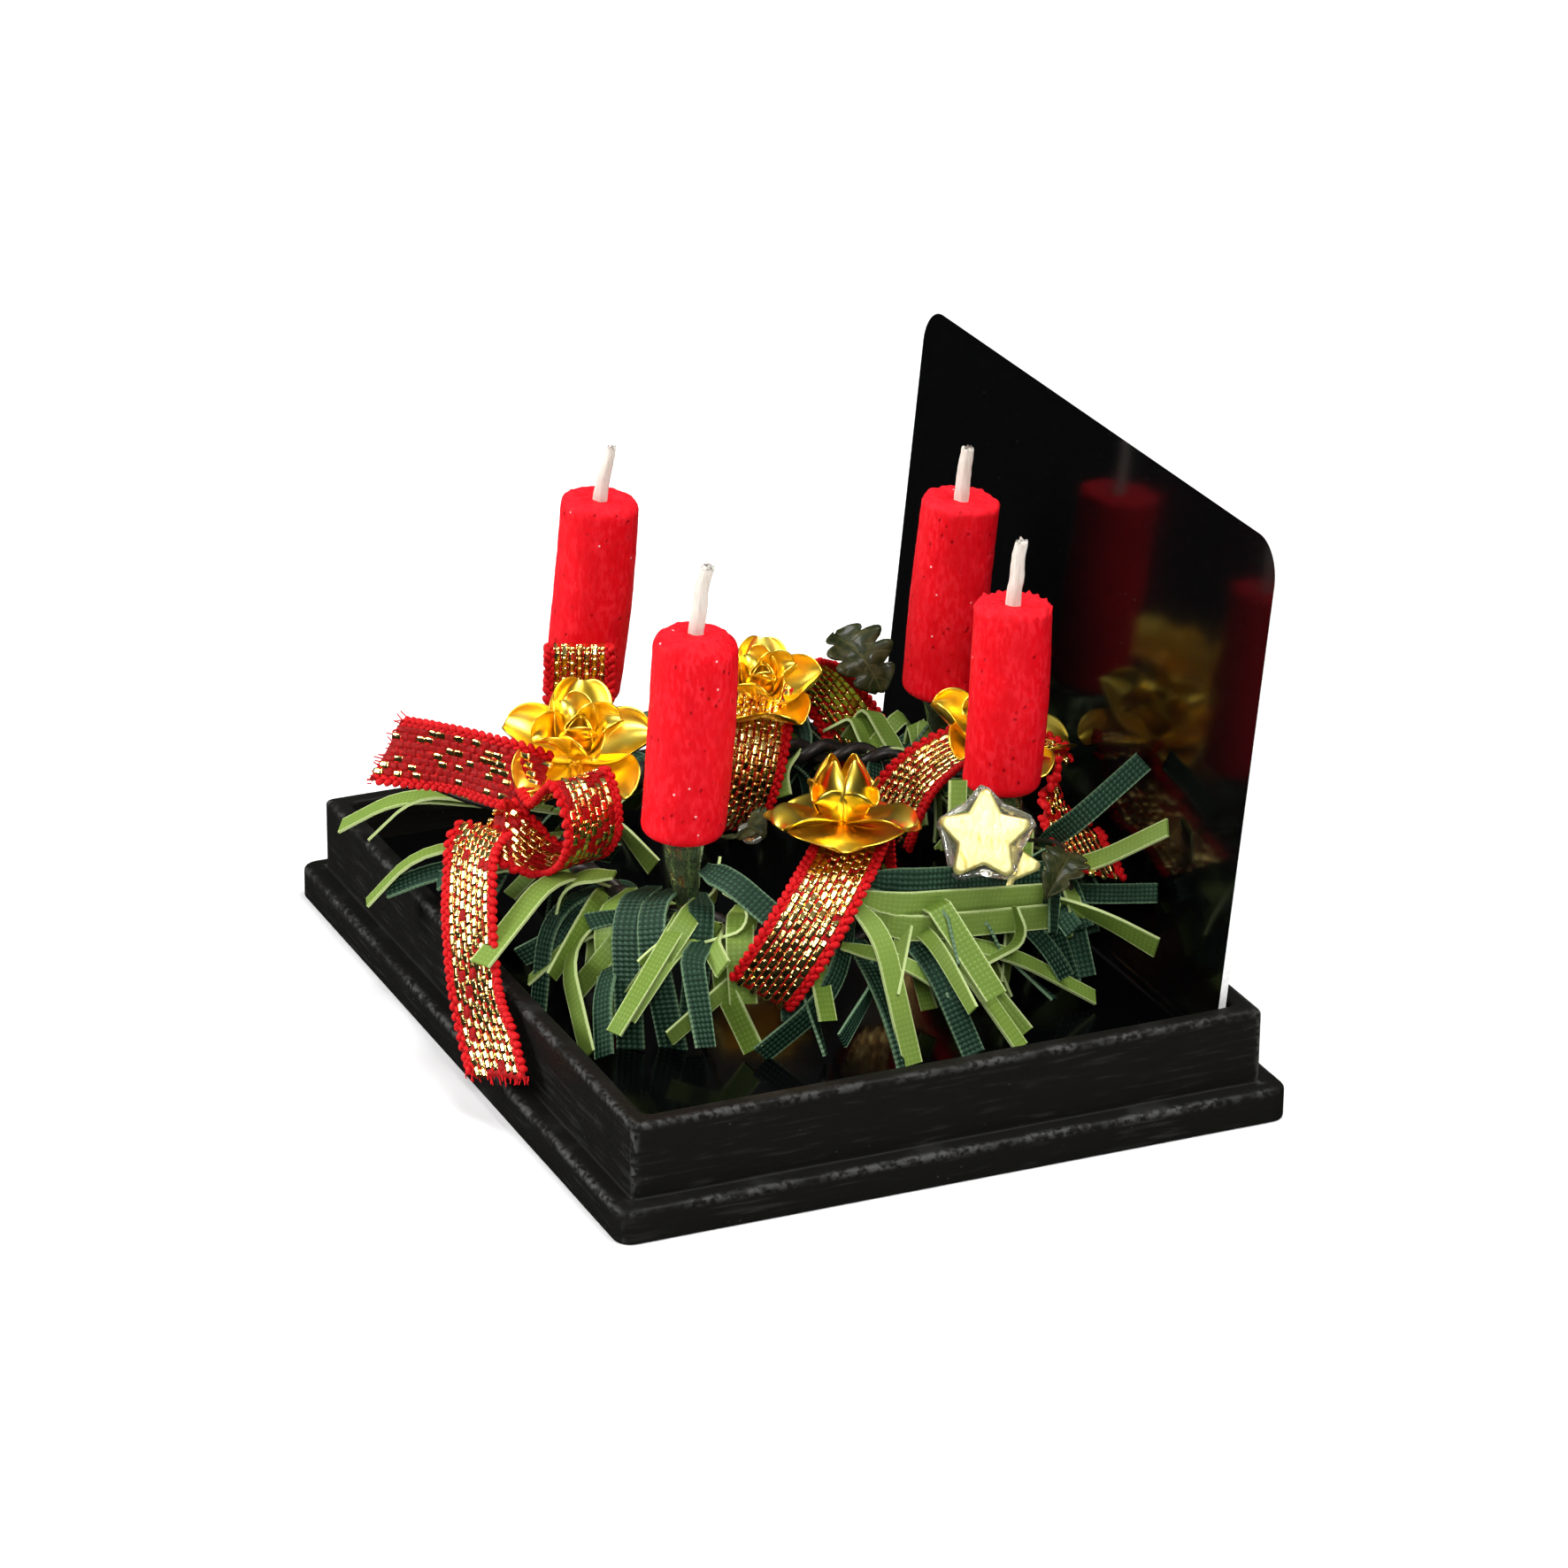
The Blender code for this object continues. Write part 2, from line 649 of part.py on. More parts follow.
def flat_piece(name, corners, thickness, place, spin, collection, material):
    """Make a flat piece from an outline, facing the way that the stars face."""
    curve = bpy.data.curves.new(name, "CURVE")
    curve.dimensions = "2D"
    curve.fill_mode = "BOTH"
    curve.extrude = thickness / 2
    spline = curve.splines.new("POLY")
    spline.use_cyclic_u = True
    spline.points.add(len(corners) - 1)
    for point, (x, y) in zip(spline.points, corners):
        point.co = (x, y, 0.0, 1.0)
    item = add_object(name, curve, collection, material)
    turn = STAR_FACING.to_track_quat("Z", "Y").to_matrix().to_4x4()
    turn = turn @ Matrix.Rotation(math.radians(spin), 4, "Z")
    item.matrix_world = Matrix.Translation(place) @ turn
    return bake(item, collection, material)


def rear_star_place():
    """Return the middle of the star behind the first one."""
    return STAR_PLACE - STAR_FACING * 2 * STAR_STEP + REAR_STAR_DROP


def build_stars(collection, gold, glue):
    """Build two stars, one behind the other, with the glue between them."""
    outline = star_outline(STAR_RADIUS)
    for number, (place, spin) in enumerate(zip((STAR_PLACE, rear_star_place()), STAR_SPINS), start=1):
        flat_piece(f"star_{number}", outline, STAR_THICKNESS, place, spin, collection, gold)
    disc = [
        (STAR_GLUE_RADIUS * math.cos(turn), STAR_GLUE_RADIUS * math.sin(turn))
        for turn in (math.radians(36 * index) for index in range(10))
    ]
    middle = STAR_PLACE - STAR_FACING * STAR_STEP + STAR_GLUE_DROP
    flat_piece("star_glue", disc, STAR_GLUE_THICKNESS, middle, 0.0, collection, glue)


def build_holly(number, root, tip, half_width, face, collection, material):
    """Build a holly leaf: a spiny edge, a folded midrib and a curl along its length."""
    along = tip - root
    side = Vector(face).cross(along).normalized()
    normal = along.cross(side).normalized()
    widths = (0.25, 1.0, 0.6, 1.05, 0.55, 0.85, 0.2)
    rows = []
    for index, share in enumerate(widths):
        part = index / (len(widths) - 1)
        middle = root + along * part + normal * 0.5 * MM * math.sin(math.pi * part)
        reach = side * half_width * share
        fold = normal * 0.45 * MM * share
        rows.append([middle - reach + fold, middle, middle + reach + fold])
    return surface_solid(f"holly_leaf_{number}", rows, HOLLY_THICKNESS, collection, material)


def fill_keepout(bow):
    """Return the keepout of every piece that the needles bend clear of."""
    keepout = Keepout()
    for foot, top, radius, _, _ in CANDLES:
        start, end = millimetres(foot), millimetres(top)
        across = radius * MM
        keepout.add_rod(start + UP * across, end, across)
        keepout.add_rod(start, start + UP * MM, across)
        turn = math.atan2(start.y - RING_CENTRE.y, start.x - RING_CENTRE.x)
        core = RING_CENTRE + Vector((
            RING_RADIUS * math.cos(turn), RING_RADIUS * math.sin(turn), RING_HEIGHT + 2 * MM
        ))
        keepout.add_rod(core, start, SEAT_RADIUS)
    for place, radius, height, _ in ROSES:
        half_height = height * MM / 2
        middle = millimetres(place) + UP * half_height
        reach = radius * 0.9 * MM
        size = np.array((reach, reach, half_height + reach * ROSE_DROP_SHARE))
        keepout.slabs.append((np.array(middle), np.eye(3), size))
    for band in BANDS:
        keepout.add_slabs(band_frames(*band), RIBBON_WIDTH / 2, RIBBON_THICKNESS / 2)
    for frames in bow:
        keepout.add_slabs(frames, RIBBON_WIDTH / 2, RIBBON_THICKNESS / 2)
    keepout.add_rod(STAR_PLACE, rear_star_place() - STAR_FACING * STAR_THICKNESS, STAR_RADIUS)
    for root, tip, half_width, _ in HOLLY_LEAVES:
        keepout.add_rod(millimetres(root), millimetres(tip), half_width * MM)
    keepout.freeze()
    return keepout


def inside_bounds(point, margin):
    """Say whether a point keeps off the card, the tray and the middle of the ring."""
    if point.z < CARD_FACE_HEIGHT + CLEARANCE + margin:
        return False
    if point.y > card_plane_y(point.z) - CLEARANCE - margin:
        return False
    wall_x = TRAY_X / 2 - FLANGE_WIDTH - WALL_THICKNESS
    wall_y = TRAY_Y / 2 - FLANGE_WIDTH - WALL_THICKNESS
    over_wall = abs(point.x) > wall_x - CLEARANCE - margin or point.y < -wall_y + CLEARANCE + margin
    if over_wall and point.z < RIM_HEIGHT + CLEARANCE + margin:
        return False
    return math.hypot(point.x - RING_CENTRE.x, point.y - RING_CENTRE.y) > HOLE_RADIUS + margin


def inside_sector(point, start, margin):
    """Say whether a point keeps its margin from both sides of a sector of the ring."""
    offset = point - RING_CENTRE
    for edge, sign in ((start, 1.0), (start + 360.0 / SECTORS, -1.0)):
        turn = math.radians(edge)
        distance = sign * (math.cos(turn) * offset.y - math.sin(turn) * offset.x)
        if distance < margin + CLEARANCE / 2:
            return False
    return True


def needle_route(draw, around, tilt, length):
    """Return root, bend and tip of one needle, drawn at random round a direction."""
    root = ring_point(around, 0.0, 0.0)
    turn, rise = math.radians(around), math.radians(tilt)
    outward = Vector((math.cos(turn), math.sin(turn), 0.0))
    tangent = Vector((-math.sin(turn), math.cos(turn), 0.0))
    lean = math.radians(draw.uniform(-38.0, 38.0))
    first = (outward * math.cos(rise) + UP * math.sin(rise)) * math.cos(lean) + tangent * math.sin(lean)
    bent = first + outward * draw.uniform(-0.2, 0.5) * math.copysign(1.0, math.cos(rise))
    bent += UP * draw.uniform(-0.75, 0.25) + tangent * draw.uniform(-0.3, 0.3)
    knee = root + first * length * draw.uniform(0.45, 0.65)
    tip = knee + bent.normalized() * (length - (knee - root).length)
    return root, knee, tip


def needle_fits(route, start, keepout):
    """Say whether a needle stays in its sector and off everything else."""
    root, knee, tip = route
    margin = NEEDLE_WIDTH / 2
    samples = [root.lerp(knee, part) for part in (0.4, 0.7, 1.0)]
    samples += [knee.lerp(tip, part) for part in (0.25, 0.5, 0.75, 1.0)]
    for spot in samples:
        if not inside_sector(spot, start, margin) or not inside_bounds(spot, margin):
            return False
        if keepout.hits(spot, margin + CLEARANCE):
            return False
    return True


def build_sector(number, keepout, collection, cutters, material):
    """Build one sector of the garland: its stretch of core and the needles rooted in it."""
    draw = random.Random(NEEDLE_SEED + number)
    span = 360.0 / SECTORS
    start = SECTOR_START + span * number
    end_gap = math.degrees(CLEARANCE / RING_RADIUS) / 2
    curve = bpy.data.curves.new("core", "CURVE")
    curve.dimensions = "3D"
    curve.bevel_depth = CORE_RADIUS
    curve.bevel_resolution = 1
    curve.use_fill_caps = True
    spline = curve.splines.new("POLY")
    steps = 4
    spline.points.add(steps)
    for index, point in enumerate(spline.points):
        around = start + end_gap + (span - 2 * end_gap) * index / steps
        point.co = (*ring_point(around, 0.0, 0.0), 1.0)
    pieces = [bake(add_object("core", curve, cutters), cutters)]
    for index in range(NEEDLES_PER_SECTOR):
        tilt = 360.0 * (index + draw.random()) / NEEDLES_PER_SECTOR
        for attempt in range(NEEDLE_TRIES):
            around = start + span * draw.uniform(0.1, 0.9)
            shrink = 1.0 - 0.6 * attempt / NEEDLE_TRIES
            length = max(draw.uniform(*NEEDLE_LENGTH) * shrink, NEEDLE_SHORTEST)
            route = needle_route(draw, around, tilt + draw.uniform(-8.0, 8.0), length)
            if needle_fits(route, start, keepout):
                pieces.append(needle_solid(route, draw, cutters))
                break
    return fuse(f"garland_{number + 1}", pieces, collection, cutters, material)


def needle_solid(route, draw, collection):
    """Make one needle: a strip with a square end."""
    along = (route[2] - route[0]).normalized()
    side = along.cross(UP if abs(along.z) < 0.9 else Vector((1.0, 0.0, 0.0))).normalized()
    side.rotate(Matrix.Rotation(draw.uniform(-0.6, 0.6), 3, along))
    frames = strip_frames(list(route), [side] * 3)
    rows = strip_rows(frames, NEEDLE_WIDTH, NEEDLE_ROOT_WIDTH)
    return surface_solid("needle", rows, NEEDLE_THICKNESS, collection)


def build_wreath():
    """Build every piece."""
    clear_scene()
    parts = new_collection("advent_wreath")
    cutters = new_collection("cutters")
    black = make_material("black_plastic", (0.012, 0.012, 0.012), 0.45)
    card_black = make_material("black_card", (0.008, 0.008, 0.009), 0.12)
    red_wax = make_material("red_wax", (0.62, 0.012, 0.02), 0.5)
    cotton = make_material("cotton_wick", (0.82, 0.79, 0.70), 0.9)
    dark_green = make_material("dark_green_needles", (0.014, 0.065, 0.045), 0.5)
    light_green = make_material("light_green_needles", (0.16, 0.30, 0.05), 0.5)
    gold = make_material("gold_foil", (0.95, 0.62, 0.10), 0.18, 1.0)
    ribbon = make_material("red_gold_ribbon", (0.55, 0.05, 0.03), 0.5, 0.3)
    pale_gold = make_material("pale_gold", (0.93, 0.80, 0.34), 0.25, 1.0)
    glue = make_material("clear_glue", (0.75, 0.74, 0.60), 0.1)
    leaf_green = make_material("holly_green", (0.03, 0.08, 0.025), 0.3)

    build_tray(parts, cutters, black)
    build_card(parts, card_black)
    for number, (foot, top, radius, rise, lean) in enumerate(CANDLES, start=1):
        low, high = millimetres(foot), millimetres(top)
        build_candle(number, low, high, radius * MM, parts, red_wax)
        build_wick(number, low, high, rise * MM, lean, parts, cotton)
        build_seat(number, low, parts, glue)
    for number, (place, radius, height, lean) in enumerate(ROSES, start=1):
        build_rose(number, millimetres(place), radius * MM, height * MM, lean, parts, cutters, gold)
    for number, band in enumerate(BANDS, start=1):
        rows = strip_rows(band_frames(*band), RIBBON_WIDTH)
        surface_solid(f"ribbon_band_{number}", rows, RIBBON_THICKNESS, parts, ribbon)
    bow = bow_strips()
    build_bow(bow, parts, cutters, ribbon)
    build_stars(parts, pale_gold, glue)
    for number, (root, tip, half_width, face) in enumerate(HOLLY_LEAVES, start=1):
        root, tip = millimetres(root), millimetres(tip)
        build_holly(number, root, tip, half_width * MM, face, parts, leaf_green)
    keepout = fill_keepout(bow)
    for number in range(SECTORS):
        build_sector(number, keepout, parts, cutters, light_green if number % 2 else dark_green)


build_wreath()
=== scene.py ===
"""The looks of a miniature advent wreath in its display tray.

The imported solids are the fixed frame. Each class below makes one part of the wreath from its own
sizes and dresses it in a finish. Lengths are metres, +Z is up and +Y points to the upright card.
"""

import logging
import math
import random
from dataclasses import dataclass, field
from enum import Enum
from typing import Any, Iterable, Mapping, Optional, Sequence, Union

import bmesh
import bpy
import numpy as np
from mathutils import Matrix, Vector, noise


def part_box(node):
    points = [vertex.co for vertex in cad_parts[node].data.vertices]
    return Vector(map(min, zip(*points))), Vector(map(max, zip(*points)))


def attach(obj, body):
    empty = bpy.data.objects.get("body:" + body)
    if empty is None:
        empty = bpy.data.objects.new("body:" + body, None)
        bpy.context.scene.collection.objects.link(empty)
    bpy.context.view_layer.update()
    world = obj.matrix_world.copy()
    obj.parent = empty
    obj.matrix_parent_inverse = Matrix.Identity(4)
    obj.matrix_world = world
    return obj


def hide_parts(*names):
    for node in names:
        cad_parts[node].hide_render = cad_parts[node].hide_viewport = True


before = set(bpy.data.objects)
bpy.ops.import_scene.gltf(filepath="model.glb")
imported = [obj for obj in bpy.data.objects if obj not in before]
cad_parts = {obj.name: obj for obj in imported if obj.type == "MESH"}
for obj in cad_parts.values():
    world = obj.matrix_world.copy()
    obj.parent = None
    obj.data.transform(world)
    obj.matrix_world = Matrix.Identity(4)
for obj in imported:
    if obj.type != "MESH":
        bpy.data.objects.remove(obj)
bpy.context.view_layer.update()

Colour = tuple[float, float, float]
Triple = tuple[float, float, float]
Term = Union["Signal", float, Triple]

MM = 0.001
UP = Vector((0.0, 0.0, 1.0))
BODY = "root"
LOG = logging.getLogger("advent_wreath")


class Slot(Enum):
    """The record's material slots."""

    TRAY = "tray_plastic"
    CARD = "card_board"
    WAX = "candle_wax"
    WICK = "wick_cotton"
    DARK = "needle_dark"
    LIGHT = "needle_light"
    ROSE = "rose_foil"
    RIBBON = "ribbon_lurex"
    STAR = "star_gold"
    GLUE = "glue_clear"
    HOLLY = "holly_green"


class Signal:
    """A number or a vector that varies, carried by one socket of a node tree."""

    def __init__(self, graph: "Graph", socket: bpy.types.NodeSocket) -> None:
        """Wrap a socket of the graph."""
        self.graph = graph
        self.socket = socket

    @property
    def is_vector(self) -> bool:
        """Say whether the socket carries a vector."""
        return self.socket.type == "VECTOR"

    def _join(self, operation: str, *terms: Term) -> "Signal":
        """Feed terms to a Math node, or to a Vector Math node where one of them is a vector.

        Args:
            operation: the node's operation.
            terms: signals, numbers or triples, in the order of the node's sockets.

        Returns:
            The node's result.
        """
        vector = any(isinstance(term, Signal) and term.is_vector for term in terms)
        if vector:
            terms = tuple((term,) * 3 if isinstance(term, float) else term for term in terms)
        kind = "ShaderNodeVectorMath" if vector else "ShaderNodeMath"
        return self.graph.signal(kind, {"operation": operation}, dict(enumerate(terms)))

    def __add__(self, other: Term) -> "Signal":
        """Add."""
        return self._join("ADD", self, other)

    def __radd__(self, other: Term) -> "Signal":
        """Add to a number."""
        return self._join("ADD", other, self)

    def __sub__(self, other: Term) -> "Signal":
        """Subtract."""
        return self._join("SUBTRACT", self, other)

    def __rsub__(self, other: Term) -> "Signal":
        """Subtract from a number."""
        return self._join("SUBTRACT", other, self)

    def __mul__(self, other: Term) -> "Signal":
        """Multiply, or scale a vector by a number."""
        if isinstance(other, Signal) and other.is_vector and not self.is_vector:
            return other * self
        if self.is_vector and (isinstance(other, float) or getattr(other, "is_vector", True) is False):
            sockets = {0: self, "Scale": other}
            return self.graph.signal("ShaderNodeVectorMath", {"operation": "SCALE"}, sockets)
        return self._join("MULTIPLY", self, other)

    def __rmul__(self, other: Term) -> "Signal":
        """Multiply a number."""
        return self * other

    def __truediv__(self, other: Term) -> "Signal":
        """Divide."""
        return self * (1.0 / other) if self.is_vector else self._join("DIVIDE", self, other)

    def __rtruediv__(self, other: Term) -> "Signal":
        """Divide a number."""
        return self._join("DIVIDE", other, self)

    def __pow__(self, exponent: Term) -> "Signal":
        """Raise to a power."""
        return self._join("POWER", self, exponent)

    def at_most(self, other: Term) -> "Signal":
        """Return the smaller of the two."""
        return self._join("MINIMUM", self, other)

    def at_least(self, other: Term) -> "Signal":
        """Return the larger of the two."""
        return self._join("MAXIMUM", self, other)

    def size(self) -> "Signal":
        """Return the absolute value."""
        return self._join("ABSOLUTE", self)

    def sine(self) -> "Signal":
        """Return the sine."""
        return self._join("SINE", self)

    def cosine(self) -> "Signal":
        """Return the cosine."""
        return self._join("COSINE", self)

    def rise(self, low: float, high: float) -> "Signal":
        """Return 0 below low and 1 above high, with a smooth step between them."""
        values = {"Value": self, "From Min": low, "From Max": high}
        return self.graph.signal("ShaderNodeMapRange", {"interpolation_type": "SMOOTHSTEP"}, values)


class Graph:
    """Adds nodes to one node tree."""

    def __init__(self, tree: bpy.types.NodeTree) -> None:
        """Keep the tree."""
        self.tree = tree

    def node(
        self,
        kind: str,
        settings: Optional[Mapping[str, Any]] = None,
        sockets: Optional[Mapping[Union[str, int], Any]] = None,
    ) -> bpy.types.Node:
        """Add a node.

        Args:
            kind: the node's type.
            settings: its properties, which are set first.
            sockets: for each input, by name or number, a constant, a signal or another socket.

        Returns:
            The node.
        """
        made = self.tree.nodes.new(kind)
        for name, value in (settings or {}).items():
            setattr(made, name, value)
        for key, value in (sockets or {}).items():
            source = value.socket if isinstance(value, Signal) else value
            if isinstance(source, bpy.types.NodeSocket):
                self.tree.links.new(source, made.inputs[key])
            else:
                made.inputs[key].default_value = source
        return made

    def signal(
        self,
        kind: str,
        settings: Optional[Mapping[str, Any]] = None,
        sockets: Optional[Mapping[Union[str, int], Any]] = None,
        output: Union[str, int] = 0,
    ) -> Signal:
        """Add a node and return one of its outputs."""
        return Signal(self, self.node(kind, settings, sockets).outputs[output])


class Surface(Graph):
    """The nodes of one material, round its Principled shader."""

    def __init__(self, name: str) -> None:
        """Make the material."""
        self.material = bpy.data.materials.new(name)
        self.material.use_nodes = True
        super().__init__(self.material.node_tree)
        self.shader = self.tree.nodes["Principled BSDF"]
        self.place = self.signal("ShaderNodeTexCoord", output="Object")

    def axes(self) -> tuple[Signal, Signal, Signal]:
        """Return x, y and z of the place on the object."""
        split = self.node("ShaderNodeSeparateXYZ", {}, {0: self.place})
        return tuple(Signal(self, output) for output in split.outputs)

    def attribute(self, name: str) -> Signal:
        """Return an attribute of the mesh."""
        return self.signal("ShaderNodeAttribute", {"attribute_name": name}, output="Fac")

    def grain(self, size: float, detail: float = 2.0, place: Optional[Signal] = None) -> Signal:
        """Return noise from 0 to 1 with features of the given size."""
        sockets = {"Vector": place or self.place, "Scale": 1.0 / size, "Detail": detail}
        return self.signal("ShaderNodeTexNoise", {}, sockets)

    def cells(self, size: float, output: str = "Distance", place: Optional[Signal] = None) -> Signal:
        """Return the distance to the middle of random cells of the given size, or their colour."""
        sockets = {"Vector": place or self.place, "Scale": 1.0 / size}
        return self.signal("ShaderNodeTexVoronoi", {}, sockets, output)

    def blend(self, share: Term, first: Union[Colour, Signal], second: Union[Colour, Signal]) -> Signal:
        """Mix two colours.

        Args:
            share: how much of the second colour shows, from 0 to 1.
            first: the colour at 0.
            second: the colour at 1.

        Returns:
            The colour.
        """
        pair = [(*c, 1.0) if isinstance(c, tuple) else c for c in (first, second)]
        sockets = {0: share, 6: pair[0], 7: pair[1]}
        return self.signal("ShaderNodeMix", {"data_type": "RGBA"}, sockets, 2)

    def relief(self, height: Signal, depth: float, strength: float = 1.0) -> Signal:
        """Return the normal of a relief whose height of 1 stands for the given depth."""
        sockets = {"Height": height, "Distance": depth, "Strength": strength}
        return self.signal("ShaderNodeBump", {}, sockets)

    def finish(self, sockets: Mapping[str, Any]) -> bpy.types.Material:
        """Set the shader's sockets and return the material."""
        for name, value in sockets.items():
            if isinstance(value, Signal):
                self.tree.links.new(value.socket, self.shader.inputs[name])
            elif isinstance(value, tuple) and len(value) == 3 and "Color" in name:
                self.shader.inputs[name].default_value = (*value, 1.0)
            else:
                self.shader.inputs[name].default_value = value
        return self.material


@dataclass(frozen=True)
class Finish:
    """What a surface is made of."""

    name: str

    def material(self) -> bpy.types.Material:
        """Return the finish's material, made at its first use, apart from the CAD's of that name."""
        title = f"{self.name} surface"
        return bpy.data.materials.get(title) or self.make(Surface(title))

    def make(self, surface: Surface) -> bpy.types.Material:
        """Build the material on a new surface."""
        raise NotImplementedError


@dataclass(frozen=True)
class TrayPlastic(Finish):
    """Moulded black plastic, satin, with dust in it and grey upper edges, partly wear and partly a painted highlight.
    """

    half_x: float
    half_y: float
    step: float
    flange: float
    rim: float
    colour: Colour = (0.0064, 0.0062, 0.0052)
    # grey of the upper edges: partly wear, partly a painted highlight
    worn_and_lit: Colour = (0.075, 0.075, 0.072)
    dust: Colour = (0.16, 0.16, 0.155)
    edge_width: float = 0.42 * MM

    def near_edge(self, surface: Surface, inset: float, height: float) -> Signal:
        """Return 1 on an upper edge at an inset and a height, or on the corners below it."""
        x, y, z = surface.axes()
        from_x = ((self.half_x - inset) - x.size()).size()
        from_y = ((self.half_y - inset) - y.size()).size()
        below = (height - z).size()
        upper = from_x.at_most(from_y).at_least(below)
        return 1.0 - upper.at_most(from_x.at_least(from_y)).rise(0.0, self.edge_width)

    def make(self, surface: Surface) -> bpy.types.Material:
        """Build the material."""
        edges = self.near_edge(surface, 0.0, self.flange)
        edges = edges.at_least(self.near_edge(surface, self.step, self.rim))
        smears = surface.grain(2.4 * MM, 3.0)
        fine = surface.grain(0.32 * MM, 2.0)
        scratch = surface.grain(0.22 * MM, 3.0, surface.place * (0.08, 0.08, 1.0))
        # painted highlight: the upper edges and corners are painted grey in patches, partly wear and partly the light
        # they catch
        worn_and_lit = edges * fine.rise(0.40, 0.60) * smears.rise(0.3, 0.6)
        specks = 1.0 - surface.cells(0.55 * MM).rise(0.05, 0.11)
        chosen = surface.cells(0.55 * MM, "Color").rise(0.70, 0.74)
        dust = (specks * chosen).at_least(scratch.rise(0.52, 0.70) * 0.30) * smears.rise(0.35, 0.60)
        colour = surface.blend(worn_and_lit * 0.8, self.colour, self.worn_and_lit)
        colour = surface.blend(dust * 0.20, colour, self.dust)
        return surface.finish({
            "Base Color": colour,
            "Roughness": 0.32 + smears * 0.16 + scratch * 0.14,
            "Specular IOR Level": 0.07,
            "Normal": surface.relief(fine * 0.6 + scratch * 0.6, 0.030 * MM),
        })


@dataclass(frozen=True)
class CoatedCard(Finish):
    """Black card under a gloss coat."""

    colour: Colour = (0.0011, 0.0012, 0.0014)

    def make(self, surface: Surface) -> bpy.types.Material:
        """Build the material."""
        waves = surface.grain(3.5 * MM, 1.0)
        specks = surface.grain(0.2 * MM, 2.0).rise(0.70, 0.80)
        return surface.finish({
            "Base Color": surface.blend(specks * 0.25, self.colour, (0.05, 0.05, 0.055)),
            "Roughness": 0.09 + waves * 0.05 + specks * 0.2,
            "Specular IOR Level": 0.17,
            "Normal": surface.relief(waves + surface.grain(0.5 * MM) * 0.06, 0.018 * MM),
        })


@dataclass(frozen=True)
class CardCore(Finish):
    """The white cut edge of the card, with its fibres."""

    colour: Colour = (0.86, 0.86, 0.84)

    def make(self, surface: Surface) -> bpy.types.Material:
        """Build the material."""
        fibres = surface.grain(0.12 * MM, 3.0)
        return surface.finish({
            "Base Color": surface.blend(fibres.rise(0.35, 0.75) * 0.4, self.colour, (0.55, 0.55, 0.55)),
            "Roughness": 0.85,
            "Normal": surface.relief(fibres, 0.02 * MM),
        })


@dataclass(frozen=True)
class CandleWax(Finish):
    """Red wax, rubbed matte, with fine pits darkened by painted shade, a grain along its length and light specks."""

    colour: Colour = (0.68, 0.0030, 0.0090)
    # darker red: cloudy patches at random, and the painted shade in the pits
    deep: Colour = (0.30, 0.0006, 0.003)
    # paler red: rubbed streaks, and the lighter top
    rubbed: Colour = (0.80, 0.022, 0.036)
    speck: Colour = (0.95, 0.50, 0.50)

    def make(self, surface: Surface) -> bpy.types.Material:
        """Build the material."""
        along = surface.place * (1.0, 1.0, 0.40)
        streaks = surface.grain(0.20 * MM, 3.0, along)
        clouds = surface.grain(1.0 * MM, 3.0, surface.place * (1.0, 1.0, 0.60))
        fine = surface.grain(0.07 * MM, 3.0)
        shaded_pit = 1.0 - surface.cells(0.44 * MM, place=surface.place * (1.0, 1.0, 0.70)).rise(0.08, 0.20)
        shaded_pit = shaded_pit * surface.grain(0.7 * MM, 2.0).rise(0.44, 0.56)
        speck = 1.0 - surface.cells(0.80 * MM).rise(0.05, 0.09)
        speck = speck * surface.cells(0.80 * MM, "Color").rise(0.46, 0.50)
        top_share = surface.attribute("top_share")
        rubbed = streaks.rise(0.42, 0.62) * (clouds.rise(0.36, 0.58) * 0.35 + 0.20)
        colour = surface.blend(rubbed, self.colour, self.rubbed)
        # painted shade: the pits are darkened toward the deep red, on top of their bump; the cloudy patches are a
        # darker tone at random
        colour = surface.blend((1.0 - clouds.rise(0.30, 0.60)) * 0.14 + shaded_pit * 0.62, colour, self.deep)
        # the wax is painted lighter and pinker towards the top, most at the crumbled rim
        colour = surface.blend(top_share * (0.25 + fine * 0.5), colour, self.rubbed)
        colour = surface.blend(speck * 0.85, colour, self.speck)
        height = streaks * 0.45 + fine * 0.20 - shaded_pit * 1.0 + speck * 0.3
        return surface.finish({
            "Base Color": colour,
            "Roughness": 0.42 + streaks * 0.16 + top_share * 0.2,
            "Specular IOR Level": 0.06,
            "Subsurface Weight": 0.08,
            "Subsurface Radius": (1.0, 0.10, 0.08),
            "Subsurface Scale": 0.35 * MM,
            "Normal": surface.relief(height, 0.07 * MM),
        })


@dataclass(frozen=True)
class WickCotton(Finish):
    """Off-white waxed cotton with its fibres lengthwise."""

    colour: Colour = (0.66, 0.61, 0.54)
    shade: Colour = (0.38, 0.32, 0.26)

    def make(self, surface: Surface) -> bpy.types.Material:
        """Build the material."""
        fibres = surface.grain(0.10 * MM, 3.0, surface.place * (1.0, 1.0, 0.12))
        tip = surface.attribute("tip")
        colour = surface.blend(fibres.rise(0.4, 0.8) * 0.45, self.colour, self.shade)
        colour = surface.blend(tip * surface.grain(0.12 * MM).rise(0.45, 0.6), colour, (0.10, 0.09, 0.08))
        return surface.finish({
            "Base Color": colour,
            "Roughness": 0.62,
            "Subsurface Weight": 0.15,
            "Subsurface Scale": 0.3 * MM,
            "Normal": surface.relief(fibres, 0.035 * MM),
        })


